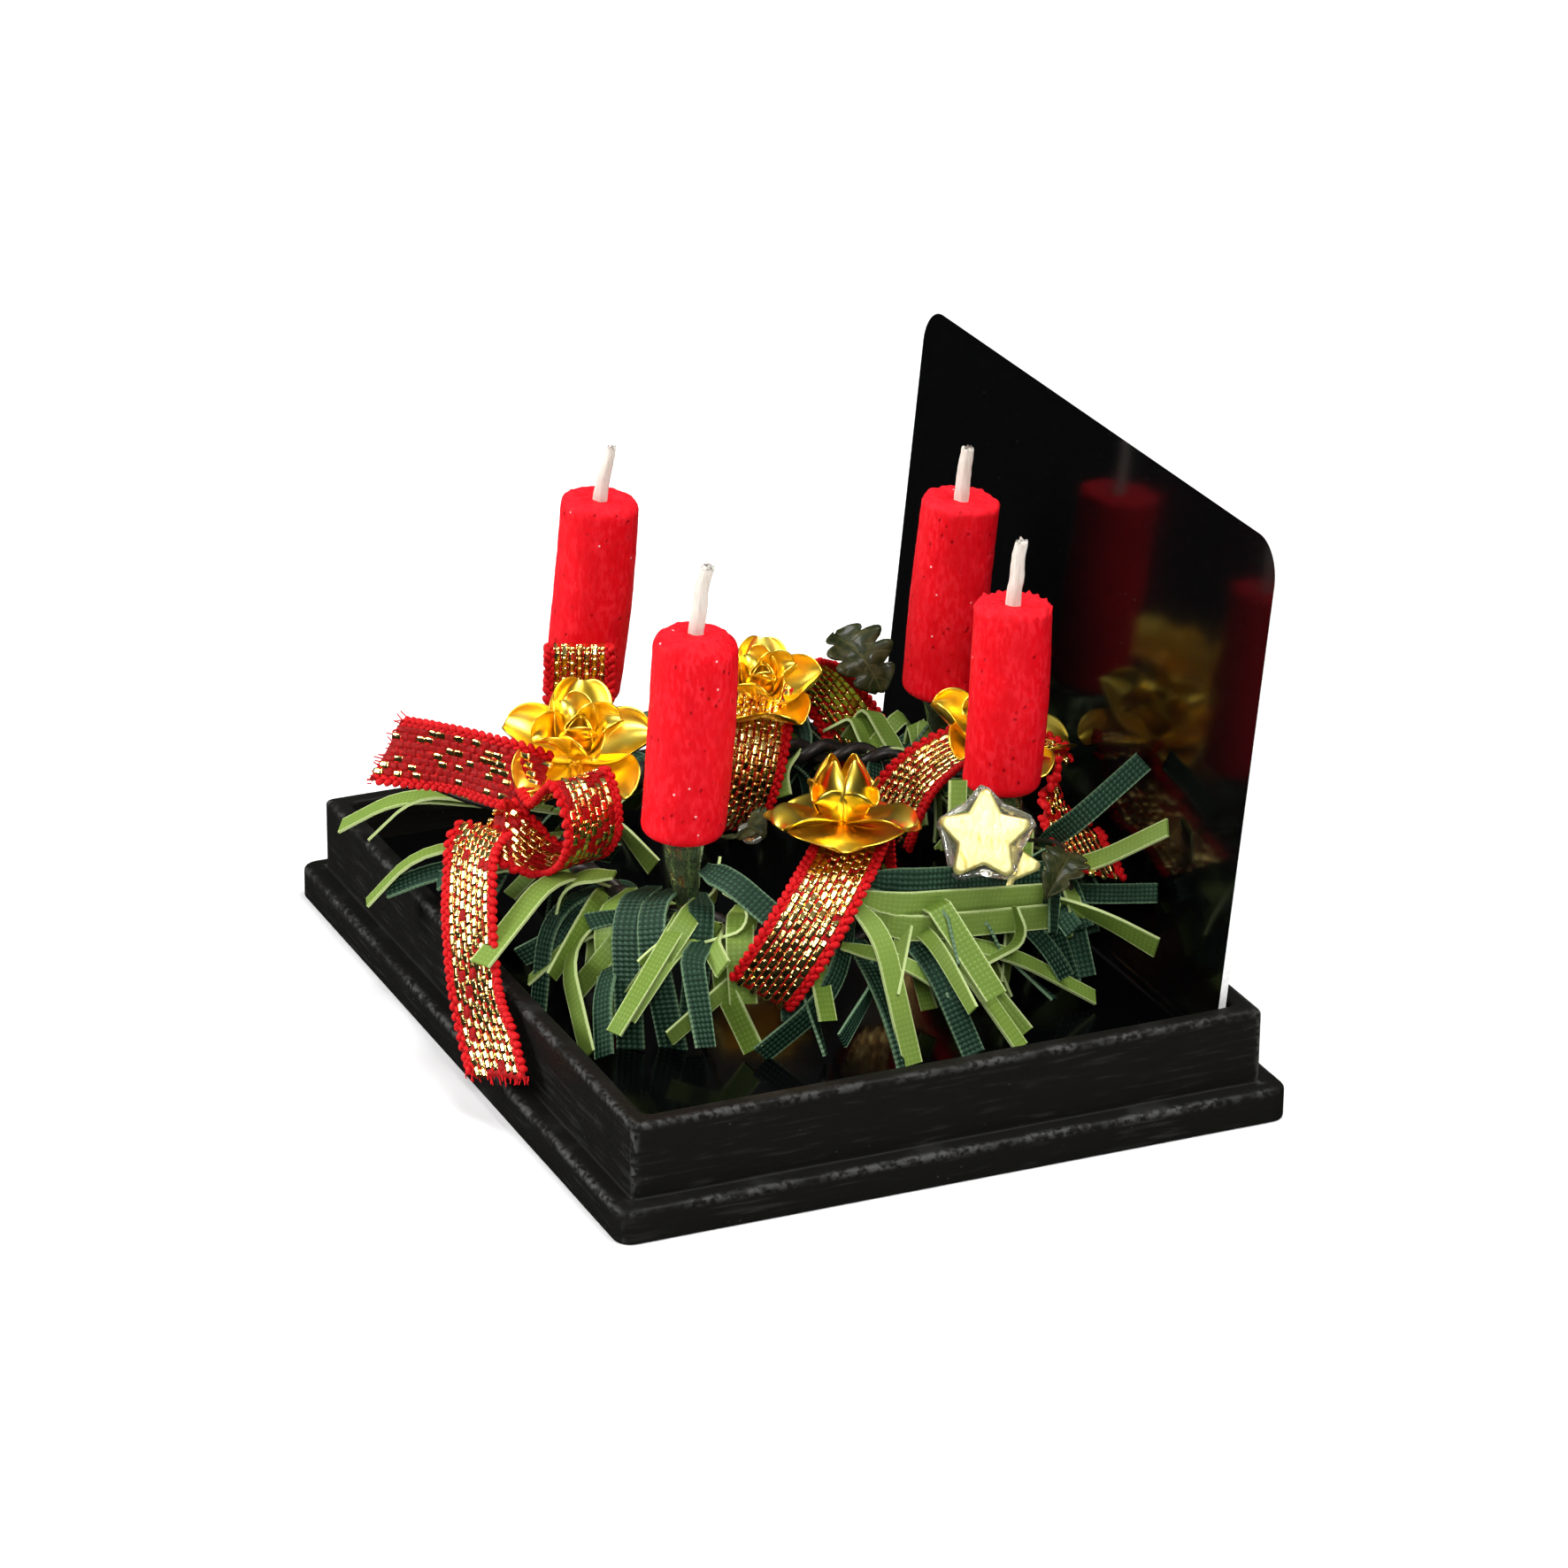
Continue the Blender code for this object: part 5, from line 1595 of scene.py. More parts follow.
PLACED_STRIPS = (
    in_mm(Green.LIGHT, (-8.0, -8.2, 8.0), (-12.0, -13.6, 7.9), (-14.6, -15.7, 5.6), width=0.9 * MM),
    in_mm(Green.LIGHT, (-7.0, -8.2, 8.2), (-11.3, -13.0, 8.2), (-12.7, -14.8, 5.7), width=1.0 * MM),
    in_mm(Green.LIGHT, (-4.5, -8.6, 8.0), (-6.6, -15.0, 7.4), (-7.2, -17.1, 5.0), width=1.0 * MM),
    in_mm(Green.DARK, (-4.2, -8.6, 7.2), (-5.9, -14.4, 6.6), (-6.9, -16.4, 5.6), width=1.0 * MM),
    in_mm(Green.LIGHT, (1.5, -8.8, 7.9), (2.5, -11.7, 9.6), (4.3, -15.9, 6.6), width=1.2 * MM),
    in_mm(Green.LIGHT, (4.0, -9.6, 9.6), (2.6, -11.2, 9.2), (2.0, -11.4, 7.0), width=1.1 * MM),
    in_mm(Green.DARK, (1.0, -9.0, 7.8), (2.6, -12.1, 7.7), (3.5, -12.9, 3.6), width=0.9 * MM),
    in_mm(Green.LIGHT, (3.0, -9.0, 7.2), (4.6, -12.2, 6.8), (8.4, -12.6, 3.5), width=1.1 * MM),
    in_mm(Green.LIGHT, (4.5, -8.4, 8.0), (6.4, -10.6, 7.4), (4.6, -11.5, 4.8), width=0.9 * MM),
    in_mm(Green.LIGHT, (3.6, -8.6, 8.6), (5.0, -10.5, 8.4), (7.2, -11.0, 3.6), width=1.1 * MM),
    in_mm(Green.DARK, (3.8, -7.6, 8.6), (6.4, -10.0, 9.4), (7.9, -10.3, 3.5), width=1.3 * MM),
    in_mm(Green.DARK, (4.8, -7.0, 8.8), (7.4, -9.4, 9.6), (8.4, -8.5, 3.5), width=1.3 * MM),
    in_mm(Green.DARK, (4.4, -8.4, 7.0), (6.9, -11.4, 6.2), (9.2, -12.2, 3.6), width=1.1 * MM),
    in_mm(Green.LIGHT, (6.4, -6.6, 8.8), (9.1, -8.6, 8.8), (7.4, -10.0, 5.3), width=1.0 * MM),
    in_mm(Green.DARK, (5.6, -6.2, 8.8), (8.2, -7.2, 9.0), (8.7, -7.9, 4.0), width=1.2 * MM),
    in_mm(Green.LIGHT, (7.8, -5.9, 9.6), (9.6, -5.0, 9.2), (8.3, -6.7, 8.3), width=1.0 * MM),
    in_mm(Green.LIGHT, (7.2, -4.8, 8.6), (9.8, -6.1, 8.8), (10.1, -6.0, 5.8), width=1.25 * MM),
    in_mm(Green.DARK, (7.0, -6.6, 10.6), (8.7, -6.0, 10.6), (10.2, -4.8, 9.4), width=1.2 * MM),
    in_mm(Green.LIGHT, (7.0, -5.0, 7.4), (9.2, -6.9, 6.8), (11.2, -6.0, 3.8), width=1.1 * MM, tone=0.0),
    in_mm(Green.DARK, (9.6, -0.6, 8.6), (12.4, -2.7, 6.2), (11.5, -5.6, 3.6), width=1.1 * MM),
    in_mm(Green.LIGHT, (10.6, -1.2, 9.8), (12.8, -0.6, 8.8), (15.2, -0.2, 3.6), width=1.1 * MM, tone=0.7),
    in_mm(Green.LIGHT, (11.2, -1.8, 7.8), (12.8, 0.2, 7.5), (13.8, 2.7, 5.7), width=0.7 * MM),
    in_mm(Green.LIGHT, (10.6, 1.4, 8.2), (12.9, 3.1, 7.1), (15.4, 5.0, 3.5), width=1.0 * MM),
    in_mm(Green.LIGHT, (11.4, 2.4, 7.6), (12.2, 6.0, 6.5), (12.2, 10.2, 3.6), width=0.8 * MM),
    in_mm(Green.DARK, (10.8, 1.2, 8.0), (13.4, 1.7, 7.2), (15.3, 2.7, 3.6), width=1.1 * MM),
    in_mm(Green.LIGHT, (10.6, -1.0, 9.9), (11.9, 0.3, 9.7), (11.0, 8.0, 8.5), width=1.1 * MM, tone=0.7),
    in_mm(Green.LIGHT, (10.6, -0.4, 8.8), (12.2, 0.6, 8.6), (11.2, 8.6, 7.5), width=1.2 * MM, tone=0.8),
    in_mm(Green.DARK, (10.4, -0.8, 10.5), (11.4, 1.4, 10.4), (10.6, 8.2, 9.3), width=1.2 * MM),
    in_mm(Green.LIGHT, (11.9, 6.3, 8.6), (12.3, 6.6, 7.2), (12.8, 3.6, 6.5), width=0.8 * MM),
    in_mm(Green.LIGHT, (9.0, 4.2, 10.5), (9.3, 4.6, 11.8), (8.7, 4.9, 13.6), width=1.0 * MM, tone=0.9),
    in_mm(Green.DARK, (7.0, 9.9, 9.0), (9.2, 10.4, 10.8), (9.4, 13.6, 13.3), width=1.0 * MM),
    in_mm(Green.LIGHT, (8.0, 9.6, 8.0), (9.6, 11.6, 9.0), (12.2, 13.6, 11.3), width=0.9 * MM),
    in_mm(Green.DARK, (8.4, 9.0, 7.4), (9.5, 11.6, 7.3), (12.0, 13.2, 8.1), width=0.9 * MM),
)


@dataclass(frozen=True)
class Tuft:
    """A layer of the garland's strips, drawn at random round the core in each sector.

    Tilts are degrees round the core, 0 outward and 90 up, and lengths are metres.
    """

    count: int
    tilts: tuple[float, float]
    length: tuple[float, float]
    lean: float
    sag: tuple[float, float]
    knee: tuple[float, float] = (0.35, 0.7)


TUFTS = (
    Tuft(4, (5.0, 65.0), (5.6 * MM, 9.4 * MM), 50.0, (-2.5, -0.9), (0.34, 0.60)),
    Tuft(5, (-25.0, 25.0), (4.6 * MM, 8.4 * MM), 50.0, (-1.9, -0.2)),
    Tuft(4, (-75.0, -25.0), (4.0 * MM, 7.0 * MM), 44.0, (-0.9, 0.2)),
    Tuft(1, (55.0, 120.0), (2.6 * MM, 4.2 * MM), 78.0, (-1.6, -0.6)),
    Tuft(3, (130.0, 215.0), (2.6 * MM, 4.4 * MM), 60.0, (-1.2, 0.1)),
)


@dataclass
class Garland:
    """The garland of cut plastic strips, held by a twisted wire that is bent to a ring."""

    ring: Ring
    card: Card
    keepout: Keepout
    placed: Sequence[CutStrip] = PLACED_STRIPS
    tufts: Sequence[Tuft] = TUFTS
    fullness: tuple[float, ...] = (0.50, 0.65, 0.85, 0.90, 0.35, 0.35, 0.50, 0.45)
    width: tuple[float, float] = (0.65 * MM, 1.2 * MM)
    thickness: float = 0.13 * MM
    hole: float = 4.6 * MM
    tries: int = 50
    steps: int = 15
    recess: tuple[float, float] = (18.1 * MM, -13.9 * MM)
    rim: float = 5.2 * MM

    def free(self, strip: CutStrip) -> bool:
        """Say whether a strip keeps clear of the tray, the card, the hole and every other piece."""
        points = strip.samples()
        margin = strip.width * 0.3
        x, y, z = np.abs(points[:, 0]), points[:, 1], points[:, 2]
        back = self.card.crease_y + (z - self.card.face_height) * math.tan(self.card.lean)
        if np.any(z < self.card.face_height + margin) or np.any(y > back - strip.width * 0.7):
            return False
        over = (x > self.recess[0] - margin) | (y < self.recess[1] + margin)
        if np.any(over & (z < self.rim + margin)):
            return False
        centre = self.ring.centre
        if np.any(np.hypot(points[:, 0] - centre.x, points[:, 1] - centre.y) < self.hole):
            return False
        return not self.keepout.hits(points, margin)

    def draw_strip(self, draw: random.Random, sector: int, tuft: Tuft, shrink: float) -> CutStrip:
        """Draw one strip at random.

        Args:
            draw: the source of random numbers.
            sector: the sector that its root lies in.
            tuft: the layer that it belongs to.
            shrink: how much shorter it is made, from 1 to 0.

        Returns:
            The strip.
        """
        span = 360.0 / self.ring.sectors
        around = self.ring.first_sector + span * (sector + draw.random())
        turn, rise = math.radians(around), math.radians(draw.uniform(*tuft.tilts))
        outward = Vector((math.cos(turn), math.sin(turn), 0.0))
        tangent = Vector((-math.sin(turn), math.cos(turn), 0.0))
        lean = math.radians(draw.uniform(-tuft.lean, tuft.lean))
        first = (outward * math.cos(rise) + UP * math.sin(rise)) * math.cos(lean) + tangent * math.sin(lean)
        length = draw.uniform(*tuft.length) * shrink
        sideways = tangent * draw.uniform(-0.7, 0.7) + outward * draw.uniform(-0.3, 0.3)
        bent = first + UP * draw.uniform(*tuft.sag) + sideways
        root = self.ring.point(around)
        knee = root + first * length * draw.uniform(*tuft.knee)
        tip = knee + bent.normalized() * (length - (knee - root).length)
        return CutStrip(
            Green.DARK, root, knee, tip, draw.uniform(*self.width), draw.uniform(-1.2, 1.2),
            draw.random() ** 1.5, draw.choice((0.12, 0.2, 0.5, 0.9)),
        )

    def fill_sector(self, sector: int) -> list[CutStrip]:
        """Return the drawn strips of a sector in both greens, as full as the sector is."""
        draw = random.Random(4200 + sector)
        strips = []
        for green in Green:
            for tuft in self.tufts:
                for _ in range(round(tuft.count * self.fullness[sector])):
                    for attempt in range(self.tries):
                        strip = self.draw_strip(draw, sector, tuft, 1.0 - 0.6 * attempt / self.tries)
                        if self.free(strip):
                            strip.green = green
                            strips.append(strip)
                            break
        return strips

    def carrier(self, strips: Sequence[CutStrip]) -> bpy.types.Mesh:
        """Return a point for each strip, with what its shape needs stored on it."""
        mesh = bpy.data.meshes.new("strip_points")
        mesh.from_pydata([strip.root for strip in strips], [], [])
        values: dict[str, list] = {name: [] for name in (
            "root", "first", "turn", "side", "bend", "length", "arc_start", "arc_end",
        )}
        for strip in strips:
            first, turn, side, bend, lower, upper = strip.frame()
            half_arc = min(lower, upper) * strip.arc * 0.9
            row = (strip.root, first, turn, side, bend, lower + upper, lower - half_arc, lower + half_arc)
            for name, value in zip(values, row):
                values[name].append(value)
        for name, data in values.items():
            store_values(mesh, name, np.array(data))
        for name in ("width", "twist", "tone"):
            store_values(mesh, name, np.array([getattr(strip, name) for strip in strips]))
        return mesh

    def build(self) -> None:
        """Make and dress the strips of each sector, one piece for each green."""
        recipe = strip_recipe()
        sizes = {"Thickness": self.thickness, "Steps": self.steps}
        for sector in range(self.ring.sectors):
            strips = self.fill_sector(sector)
            strips += [strip for strip in self.placed if self.ring.sector_of(strip.root) == sector]
            own = Green.LIGHT if sector % 2 else Green.DARK
            for green in Green:
                finish = STRIP_FINISHES[green]
                chosen = [strip for strip in strips if strip.green is green]
                mesh = recipe.run(self.carrier(chosen), sizes, finish)
                item = add_piece(f"strips_{sector + 1}_{green.value}", mesh, finish)
                item.data.set_sharp_from_angle(angle=math.radians(50))
                nodes = (f"garland_{sector + 1}",) if green is own else ()
                dress(item, STRIP_SLOTS[green], *nodes)


@dataclass
class WireWork:
    """The twisted wire core of the garland and the loose wire ends that show."""

    ring: Ring
    weave: RibbonWeave
    pitch: float = 3.2 * MM
    radius: float = 0.34 * MM
    loose_radius: float = 0.10 * MM
    ends: tuple[tuple[Triple, ...], ...] = (
        ((-5.2, -9.4, 8.6), (-7.4, -12.0, 9.0), (-9.3, -14.4, 10.0), (-10.1, -15.0, 10.6)),
        ((6.2, 9.4, 9.0), (9.0, 9.6, 10.0), (11.6, 8.8, 10.6), (13.2, 8.4, 9.6)),
    )

    def build(self) -> None:
        """Make and dress the twisted pair and the loose ends."""
        count = 260
        turns = 2 * math.pi * self.ring.radius / self.pitch
        around = np.linspace(0.0, 360.0, count + 1)
        places = np.array([self.ring.point(turn) for turn in around])
        sides = np.array([(math.cos(math.radians(a)), math.sin(math.radians(a)), 0.0) for a in around])
        ups = np.tile((0.0, 0.0, 1.0), (count + 1, 1))
        phase = around / 360.0 * 2 * math.pi * round(turns)
        pair = [(places, sides, ups, phase + shift) for shift in (0.0, math.pi)]
        wire = DarkWire("dark_wire")
        layers = [self.weave.wind(pair, self.radius, self.radius * 0.95, wire)]
        for end in self.ends:
            line = np.array(smooth_route([Vector(point) * MM for point in end], 8))
            none = np.tile((0.0, 0.0, 1.0), (len(line), 1))
            loose = [(line, none, none, np.zeros(len(line)))]
            layers.append(self.weave.wind(loose, 0.0, self.loose_radius, wire))
        mesh = join_meshes("core_wire", layers)
        dress(add_piece("core_wire", mesh, wire), Slot.DARK)


@dataclass(frozen=True)
class PetalRound:
    """One round of a rose's open petals, in shares of the rose's radius, with rises in degrees.

    The spread is how much the petals' last rise differs, and the roll is how far their tips turn
    outwards again.
    """

    count: int
    reach: float
    half_width: float
    rise_start: float
    rise_end: float
    spread: float
    roll: float
    cup: float
    ripple: float
    lift: float
    turn: float


@dataclass(frozen=True)
class BudRound:
    """One round of the petals that wrap a rose's bud, in shares of its height and radius."""

    count: int
    height: float
    radius: float
    wrap: float
    flare: float
    turn: float


@dataclass
class Rose:
    """A stamped foil rose: open outer petals, a round of curled ones and a bud."""

    number: int
    place: Triple
    radius: float
    height: float
    lean: tuple[float, float]
    rounds: Sequence[Union[PetalRound, BudRound]]
    foil: float = 0.085 * MM
    along_steps: int = 12
    across_steps: int = 8
    widest: float = 0.52

    def petal(self, spec: PetalRound, draw: random.Random) -> np.ndarray:
        """Return the grid of one open petal that leaves the middle along +X.

        Args:
            spec: the round that it belongs to.
            draw: the source of random numbers.

        Returns:
            Its points, row by row from the middle outwards.
        """
        size = self.radius * MM
        reach = spec.reach * size * draw.uniform(0.92, 1.04)
        wave = draw.uniform(0.0, 2 * math.pi)
        last = spec.rise_end + spec.spread * draw.uniform(-1.0, 1.0)
        spot = Vector((0.10 * MM, 0.0, 0.0))
        rows = []
        before = 0.0
        for step in range(self.along_steps + 1):
            part = 1.0 - (1.0 - step / self.along_steps) ** 1.5
            rolled = spec.roll * max(0.0, (part - 0.55) / 0.45) ** 1.5
            rise = math.radians(spec.rise_start + (last - spec.rise_start) * part ** 1.2 - rolled)
            way = Vector((math.cos(rise), 0.0, math.sin(rise)))
            lift = Vector((-math.sin(rise), 0.0, math.cos(rise)))
            spot = spot + way * reach * (part - before)
            before = part
            if part < self.widest:
                outline = 0.34 + 0.66 * math.sin(math.pi / 2 * part / self.widest)
            else:
                outline = (1.0 - ((part - self.widest) / (1.01 - self.widest)) ** 2) ** 0.42
            half = spec.half_width * size * outline
            row = []
            for column in range(self.across_steps + 1):
                share = 2 * column / self.across_steps - 1
                hollow = spec.cup * size * share ** 2 * outline * (0.35 + 0.65 * part)
                ripple = spec.ripple * size * part ** 1.6 * math.sin(wave + 3.4 * share + 1.5 * part)
                point = spot + Vector((0.0, half * share * (1.0 - 0.5 * spec.cup * share ** 2), 0.0))
                row.append(point + lift * (hollow + ripple * (0.35 + 0.65 * abs(share))))
            rows.append(row)
        return np.array(rows)

    def bud_petal(self, spec: BudRound, number: int) -> np.ndarray:
        """Return the grid of one petal wrapped round the bud, facing +X.

        Args:
            spec: the round that it belongs to.
            number: its place in the round. A later petal lies outside the ones before it.

        Returns:
            Its points, row by row upwards.
        """
        size = self.radius * MM
        rows = []
        for step in range(self.along_steps + 1):
            part = step / self.along_steps
            girth = math.sin(math.pi * (0.13 + 0.74 * part ** 0.92)) ** 0.8
            out = spec.radius * size * (girth * (1.0 + 0.05 * number) + spec.flare * part ** 4)
            spread = math.radians(spec.wrap) * (1.0 - 0.45 * part ** 8)
            row = []
            for column in range(self.across_steps + 1):
                share = 2 * column / self.across_steps - 1
                rise = spec.height * self.height * MM * part * (1 - 0.13 * part * share ** 2)
                turn = share * spread
                keel = 1.0 + 0.03 * (1 - abs(share)) * part
                row.append((out * keel * math.cos(turn), out * keel * math.sin(turn), rise))
            rows.append(row)
        return np.array(rows)

    def build(self) -> None:
        """Make and dress the rose."""
        draw = random.Random(90 + self.number)
        points, faces = [], []
        for spec in self.rounds:
            for index in range(spec.count):
                turn = 360.0 * index / spec.count + spec.turn + draw.uniform(-5.0, 5.0)
                spin = Matrix.Rotation(math.radians(turn), 3, "Z")
                if isinstance(spec, BudRound):
                    grid = self.bud_petal(spec, index)
                else:
                    grid = self.petal(spec, draw)
                    grid[:, :, 2] += spec.lift * self.height * MM + 0.05 * MM * (index % 3)
                grid = grid.reshape(-1, 3) @ np.array(spin).T
                start = len(points)
                points.extend(grid)
                quads = grid_faces(self.along_steps + 1, self.across_steps + 1)
                faces += [[start + corner for corner in quad] for quad in quads]
        item = add_piece(f"foil_rose_{self.number}", make_mesh("rose", points, faces), RoseFoil("rose_foil"))
        thicken(item, self.foil, rounds=1)
        tilt = Matrix.Rotation(math.radians(self.lean[0]), 4, "Y")
        tilt = tilt @ Matrix.Rotation(math.radians(-self.lean[1]), 4, "X")
        item.data.transform(Matrix.Translation(Vector(self.place) * MM) @ tilt)
        dress(item, Slot.ROSE, f"rose_{self.number}")


OPEN_ROSE = (
    PetalRound(5, 1.06, 0.50, 2.0, 40.0, 22.0, 30.0, 0.34, 0.03, 0.0, -60.0),
    PetalRound(4, 0.74, 0.38, 34.0, 76.0, 8.0, 75.0, 0.42, 0.02, 0.08, 0.0),
    PetalRound(3, 0.56, 0.27, 60.0, 98.0, 6.0, 40.0, 0.44, 0.0, 0.12, 35.0),
)
BUD_ROSE = (
    PetalRound(3, 0.96, 0.74, 0.0, 6.0, 5.0, 26.0, 0.03, 0.07, 0.02, -24.0),
    PetalRound(3, 1.00, 0.42, 8.0, 22.0, 6.0, 60.0, 0.14, 0.06, 0.05, 36.0),
    PetalRound(4, 0.62, 0.30, 22.0, 58.0, 6.0, 35.0, 0.34, 0.02, 0.06, 24.0),
    BudRound(4, 1.0, 0.33, 50.0, 0.02, -69.0),
)
ROSES = (
    Rose(1, (-4.3, -8.1, 11.7), 3.6, 2.6, (24.0, -4.0), OPEN_ROSE),
    Rose(2, (-9.3, 3.2, 10.9), 3.1, 2.6, (22.0, -6.0), OPEN_ROSE),
    Rose(3, (8.5, -0.6, 12.4), 3.6, 3.1, (-4.0, 2.0), BUD_ROSE),
    Rose(4, (1.9, 9.9, 11.7), 3.5, 2.6, (14.0, 10.0), OPEN_ROSE),
)


@dataclass
class Stars:
    """Two pale gold stars, one behind the other, and the clear glue round them."""

    place: Triple = (11.4, 4.95, 12.0)
    facing: Triple = (0.84, -0.37, 0.39)
    radius: float = 2.4 * MM
    waist: float = 0.52
    thickness: float = 0.7 * MM
    step: float = 0.9 * MM
    drop: Triple = (0.2, 0.45, -1.25)
    spins: tuple[float, float] = (-1.5, 49.0)

    def turn(self) -> Matrix:
        """Return the turn that faces +Z the way the stars face."""
        return Vector(self.facing).normalized().to_track_quat("Z", "Y").to_matrix()

    def outline(self, scale: float, bulge: float = 0.0) -> list[tuple[float, float]]:
        """Return the star's outline with its corners rounded, scaled and swollen to a disc."""
        corners = []
        for index in range(12):
            reach = self.radius * (self.waist if index % 2 else 1.0)
            turn = math.radians(90 + 36 * index)
            corners.append((reach * math.cos(turn), reach * math.sin(turn), self.radius * 0.11))
        start = (Vector(corners[0][:2]) + Vector(corners[1][:2])) / 2
        path = rounded_path(((*start, 0.0), *corners[1:11], (*start, 0.0)), 5)[:-1]
        return [
            tuple(Vector(point) * scale * ((1.0 - bulge) + bulge * self.radius / Vector(point).length))
            for point in path
        ]

    def solid(self, name: str, levels: Sequence[tuple[float, float]], bulge: float = 0.0) -> bpy.types.Mesh:
        """Loft the outline through levels of (scale, height)."""
        rings = [[(x, y, height) for x, y in self.outline(scale, bulge)] for scale, height in levels]
        return loft(name, np.array(rings))

    def star(self, number: int, place: Vector, spin: float) -> bpy.types.Object:
        """Make one star with a domed face."""
        half = self.thickness / 2
        levels = (
            (0.05, -half), (0.92, -half), (0.99, -half * 0.8), (1.0, -half * 0.3), (1.0, half * 0.25),
            (0.985, half * 0.62), (0.95, half * 0.88), (0.90, half * 0.98), (0.86, half), (0.05, half),
        )
        mesh = self.solid(f"gold_star_{number}", levels)
        turn = self.turn() @ Matrix.Rotation(math.radians(spin), 3, "Z")
        mesh.transform(Matrix.Translation(place) @ turn.to_4x4())
        return add_piece(f"gold_star_{number}", mesh, StarGold("star_gold"))

    def glue(self, middle: Vector) -> bpy.types.Object:
        """Make the swollen, lumpy glue that fills the gap and creeps round the front star."""
        levels = (
            (0.05, -0.42), (0.55, -0.44), (0.84, -0.36), (0.98, -0.12), (1.04, 0.15), (1.05, 0.38),
            (1.02, 0.54), (0.96, 0.60), (0.90, 0.52), (0.55, 0.30), (0.05, 0.20),
        )
        mesh = self.solid("star_glue_blob", [(scale, height * MM) for scale, height in levels], bulge=0.36)
        for vert in mesh.vertices:
            swell = 1.0 + 0.14 * lumps(vert.co, 1.1 * MM, 4.0) + 0.05 * lumps(vert.co, 0.35 * MM, 6.0)
            vert.co = vert.co * swell
        mesh.transform(Matrix.Translation(middle) @ self.turn().to_4x4())
        return add_piece("star_glue_blob", mesh, ClearGlue("clear_glue"))

    def build(self) -> None:
        """Make and dress the stars and their glue."""
        facing = Vector(self.facing).normalized()
        front = Vector(self.place) * MM
        back = front - facing * 2 * self.step + Vector(self.drop) * MM
        dress(self.star(1, front, self.spins[0]), Slot.STAR, "star_1")
        dress(self.star(2, back, self.spins[1]), Slot.STAR, "star_2")
        dress(self.glue(front - facing * self.step), Slot.GLUE, "star_glue")


@dataclass
class HollySprig:
    """A dark spiny leaf and the glue on its face."""

    number: int
    root: Triple
    tip: Triple
    half_width: float
    face: Triple
    curl: float
    glue: float
    spines: int = 4
    thickness: float = 0.09 * MM

    def leaf(self) -> bpy.types.Object:
        """Make the leaf with its spiny edge, folded midrib and curl."""
        root, tip = Vector(self.root) * MM, Vector(self.tip) * MM
        along = tip - root
        side = Vector(self.face).cross(along).normalized()
        normal = along.cross(side).normalized()
        rows, columns = 29, 11
        points, across_values, along_values = [], [], []
        for row in range(rows):
            part = row / (rows - 1)
            spine = abs(math.sin(math.pi * self.spines * part)) ** 0.7
            outline = math.sin(math.pi * (0.08 + 0.90 * part)) ** 0.7
            half = self.half_width * MM * outline * (0.62 + 0.5 * spine)
            middle = root + along * part + normal * self.curl * MM * math.sin(math.pi * part)
            for column in range(columns):
                share = 2 * column / (columns - 1) - 1
                rise = 0.42 * half * abs(share) + 0.16 * MM * math.sin(5.0 * part + 3.0 * share)
                spot = middle + side * half * share + normal * rise
                points.append(spot + normal * 0.10 * MM * lumps(spot, 0.8 * MM, self.number))
                across_values.append(share)
                along_values.append(part * along.length)
        mesh = make_mesh(f"holly_blade_{self.number}", points, grid_faces(rows, columns))
        store_values(mesh, "across", across_values)
        store_values(mesh, "along", along_values)
        item = add_piece(f"holly_blade_{self.number}", mesh, HollyLeaf("holly_leaf"))
        return thicken(item, self.thickness)

    def blob(self) -> bpy.types.Object:
        """Make the lump of clear glue on the leaf."""
        shape = bmesh.new()
        bmesh.ops.create_icosphere(shape, subdivisions=5, radius=1.0)
        place = Vector(self.root).lerp(Vector(self.tip), 0.55) * MM + Vector(self.face).normalized() * 0.25 * MM
        turn = Vector(self.face).normalized().to_track_quat("Z", "Y").to_matrix()
        for vert in shape.verts:
            local = Vector((vert.co.x * 1.15, vert.co.y * 0.85, vert.co.z * 0.34)) * self.glue * MM
            swell = 1.0 + 0.35 * lumps(local, 0.7 * MM, self.number + 9.0)
            vert.co = place + turn @ (local * swell)
        mesh = bpy.data.meshes.new(f"holly_glue_{self.number}")
        shape.to_mesh(mesh)
        shape.free()
        mesh.shade_smooth()
        return add_piece(f"holly_glue_{self.number}", mesh, ClearGlue("clear_glue"))

    def build(self) -> None:
        """Make and dress the leaf and its glue."""
        dress(self.leaf(), Slot.HOLLY, f"holly_leaf_{self.number}")
        if self.glue:
            dress(self.blob(), Slot.GLUE)


HOLLY = (
    HollySprig(1, (-8.1, 8.9, 10.9), (-11.3, 7.9, 12.9), 1.45, (0.5, -0.2, 0.8), 0.8, 0.0),
    HollySprig(2, (6.7, -3.7, 11.6), (4.6, -3.6, 10.6), 1.1, (0.4, -0.3, 0.8), 0.4, 0.55),
    HollySprig(3, (11.9, 9.0, 10.6), (14.3, 6.6, 9.9), 1.0, (0.5, 0.0, 0.85), 0.7, 0.0),
)


